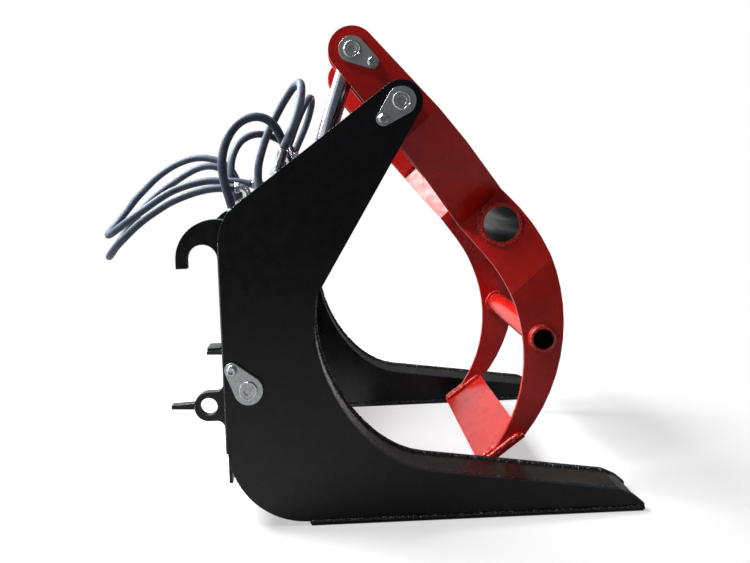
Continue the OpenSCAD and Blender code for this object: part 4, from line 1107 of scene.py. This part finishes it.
# %% [markdown]
# ## The studio
# The photograph is a cut-out on white. That white comes from the world for camera rays and from the
# floor, not from more light. Metal and gloss paint see it too, but only on the left, up and a
# little to the far side, so that the plates that face the camera stay dark. Near the grapple the
# floor is half paper and half light, so that it keeps the shadow.

# %% What the studio shows as white
WHITE_SIDE = (-2.2, 0.9, 0.7)  # the direction in which gloss sees white
WHITE_FROM = 0.9
WHITE_FULL = 1.3


def white_share(tree, way, shown):
    """How much of a ray sees plain white: shown to the camera, and round WHITE_SIDE to gloss."""
    rays = add_node(tree, "LightPath")
    lean = add_node(tree, "VectorMath", {0: way, 1: WHITE_SIDE}, operation="DOT_PRODUCT")
    inside = add_node(
        tree, "MapRange",
        {"Value": lean.outputs["Value"], "From Min": WHITE_FROM, "From Max": WHITE_FULL},
    )
    to_camera = add_node(
        tree, "Math", {0: shown, 1: rays.outputs["Is Camera Ray"]}, operation="MULTIPLY"
    )
    to_gloss = add_node(
        tree, "Math", {0: inside.outputs["Result"], 1: rays.outputs["Is Glossy Ray"]},
        operation="MULTIPLY",
    )
    both = add_node(
        tree, "Math", {0: to_camera.outputs["Value"], 1: to_gloss.outputs["Value"]},
        operation="MAXIMUM",
    )
    return both.outputs["Value"]


print("gloss sees white towards", WHITE_SIDE)

# %% Floor
floor_mesh = bmesh.new()
bmesh.ops.create_grid(floor_mesh, x_segments=8, y_segments=8, size=30.0)
floor_data = bpy.data.meshes.new("studio_floor")
floor_mesh.to_mesh(floor_data)
floor_mesh.free()
floor = add_object("studio_floor", floor_data)
floor.location.z = -0.6 * MM  # a hair under the soles, so that the faces don't fight
material, tree, place = new_material("pale_floor")
distance = add_node(tree, "VectorMath", {0: place}, operation="LENGTH")
far = add_node(
    tree, "MapRange",
    {"Value": distance.outputs["Value"], "From Min": 0.7, "From Max": 2.4, "To Min": 0.5},
    interpolation_type="SMOOTHSTEP",
)
way = add_node(tree, "VectorMath", {0: place}, operation="NORMALIZE")
white = white_share(tree, way.outputs["Vector"], far.outputs["Result"])
rays = add_node(tree, "LightPath")
paper_colour = add_node(
    tree, "Mix",
    {"Factor": rays.outputs["Is Camera Ray"], "A": linear("#9c9c9c"), "B": linear("#f6f6f6")},
    data_type="RGBA",
)
paper = add_node(tree, "BsdfDiffuse", {"Color": paper_colour.outputs["Result"]})
glow = add_node(tree, "Emission", {"Color": (1, 1, 1, 1), "Strength": 1.0})
mixed = add_node(
    tree, "MixShader", {0: white, 1: paper.outputs["BSDF"], 2: glow.outputs["Emission"]}
)
add_node(tree, "OutputMaterial", {"Surface": mixed.outputs["Shader"]})
floor_data.materials.append(material)
print("floor", floor.dimensions.x, "m wide")

# %% World
world = bpy.data.worlds.new("studio_world")
bpy.context.scene.world = world
world.use_nodes = True
tree = world.node_tree
tree.nodes.clear()
direction = add_node(tree, "TexCoord").outputs["Generated"]
white = white_share(tree, direction, 1.0)
dim = add_node(tree, "Background", {"Color": linear("#f2f6ff"), "Strength": 0.13})
plain = add_node(tree, "Background", {"Color": (1, 1, 1, 1), "Strength": 1.0})
mixed = add_node(
    tree, "MixShader", {0: white, 1: dim.outputs["Background"], 2: plain.outputs["Background"]}
)
add_node(tree, "OutputWorld", {"Surface": mixed.outputs["Shader"]})
print("world:", world.name)

# %% [markdown]
# A small soft box hangs high over the camera's left, because the inside of the far clamp plate
# mirrors one there. A large one, high on the left and a little to the far side, lights the faces
# that look up and back, which are the bright ones. A weak one, low on the camera's left, fills the
# shadows.

# %% Lamps
def soft_box(name, place, target, size, watts):
    """A square area lamp that looks at a target."""
    data = bpy.data.lights.new(name, "AREA")
    data.shape = "SQUARE"
    data.size = size
    data.energy = watts
    lamp = add_object(name, data)
    lamp.location = place
    aim = Vector(target) - Vector(place)
    lamp.rotation_euler = aim.to_track_quat("-Z", "Y").to_euler()


soft_box("key_box", (-1.07, -0.8, 2.58), (0.2, 0.1, 0.6), size=0.4, watts=24)
soft_box("back_window", (-1.5, 0.35, 2.2), (0.1, 0.1, 0.4), size=1.4, watts=215)
soft_box("fill_box", (-2.4, -2.7, 0.9), (0, -0.3, 0.6), size=1.6, watts=11)
bpy.context.scene.view_settings.view_transform = "Standard"
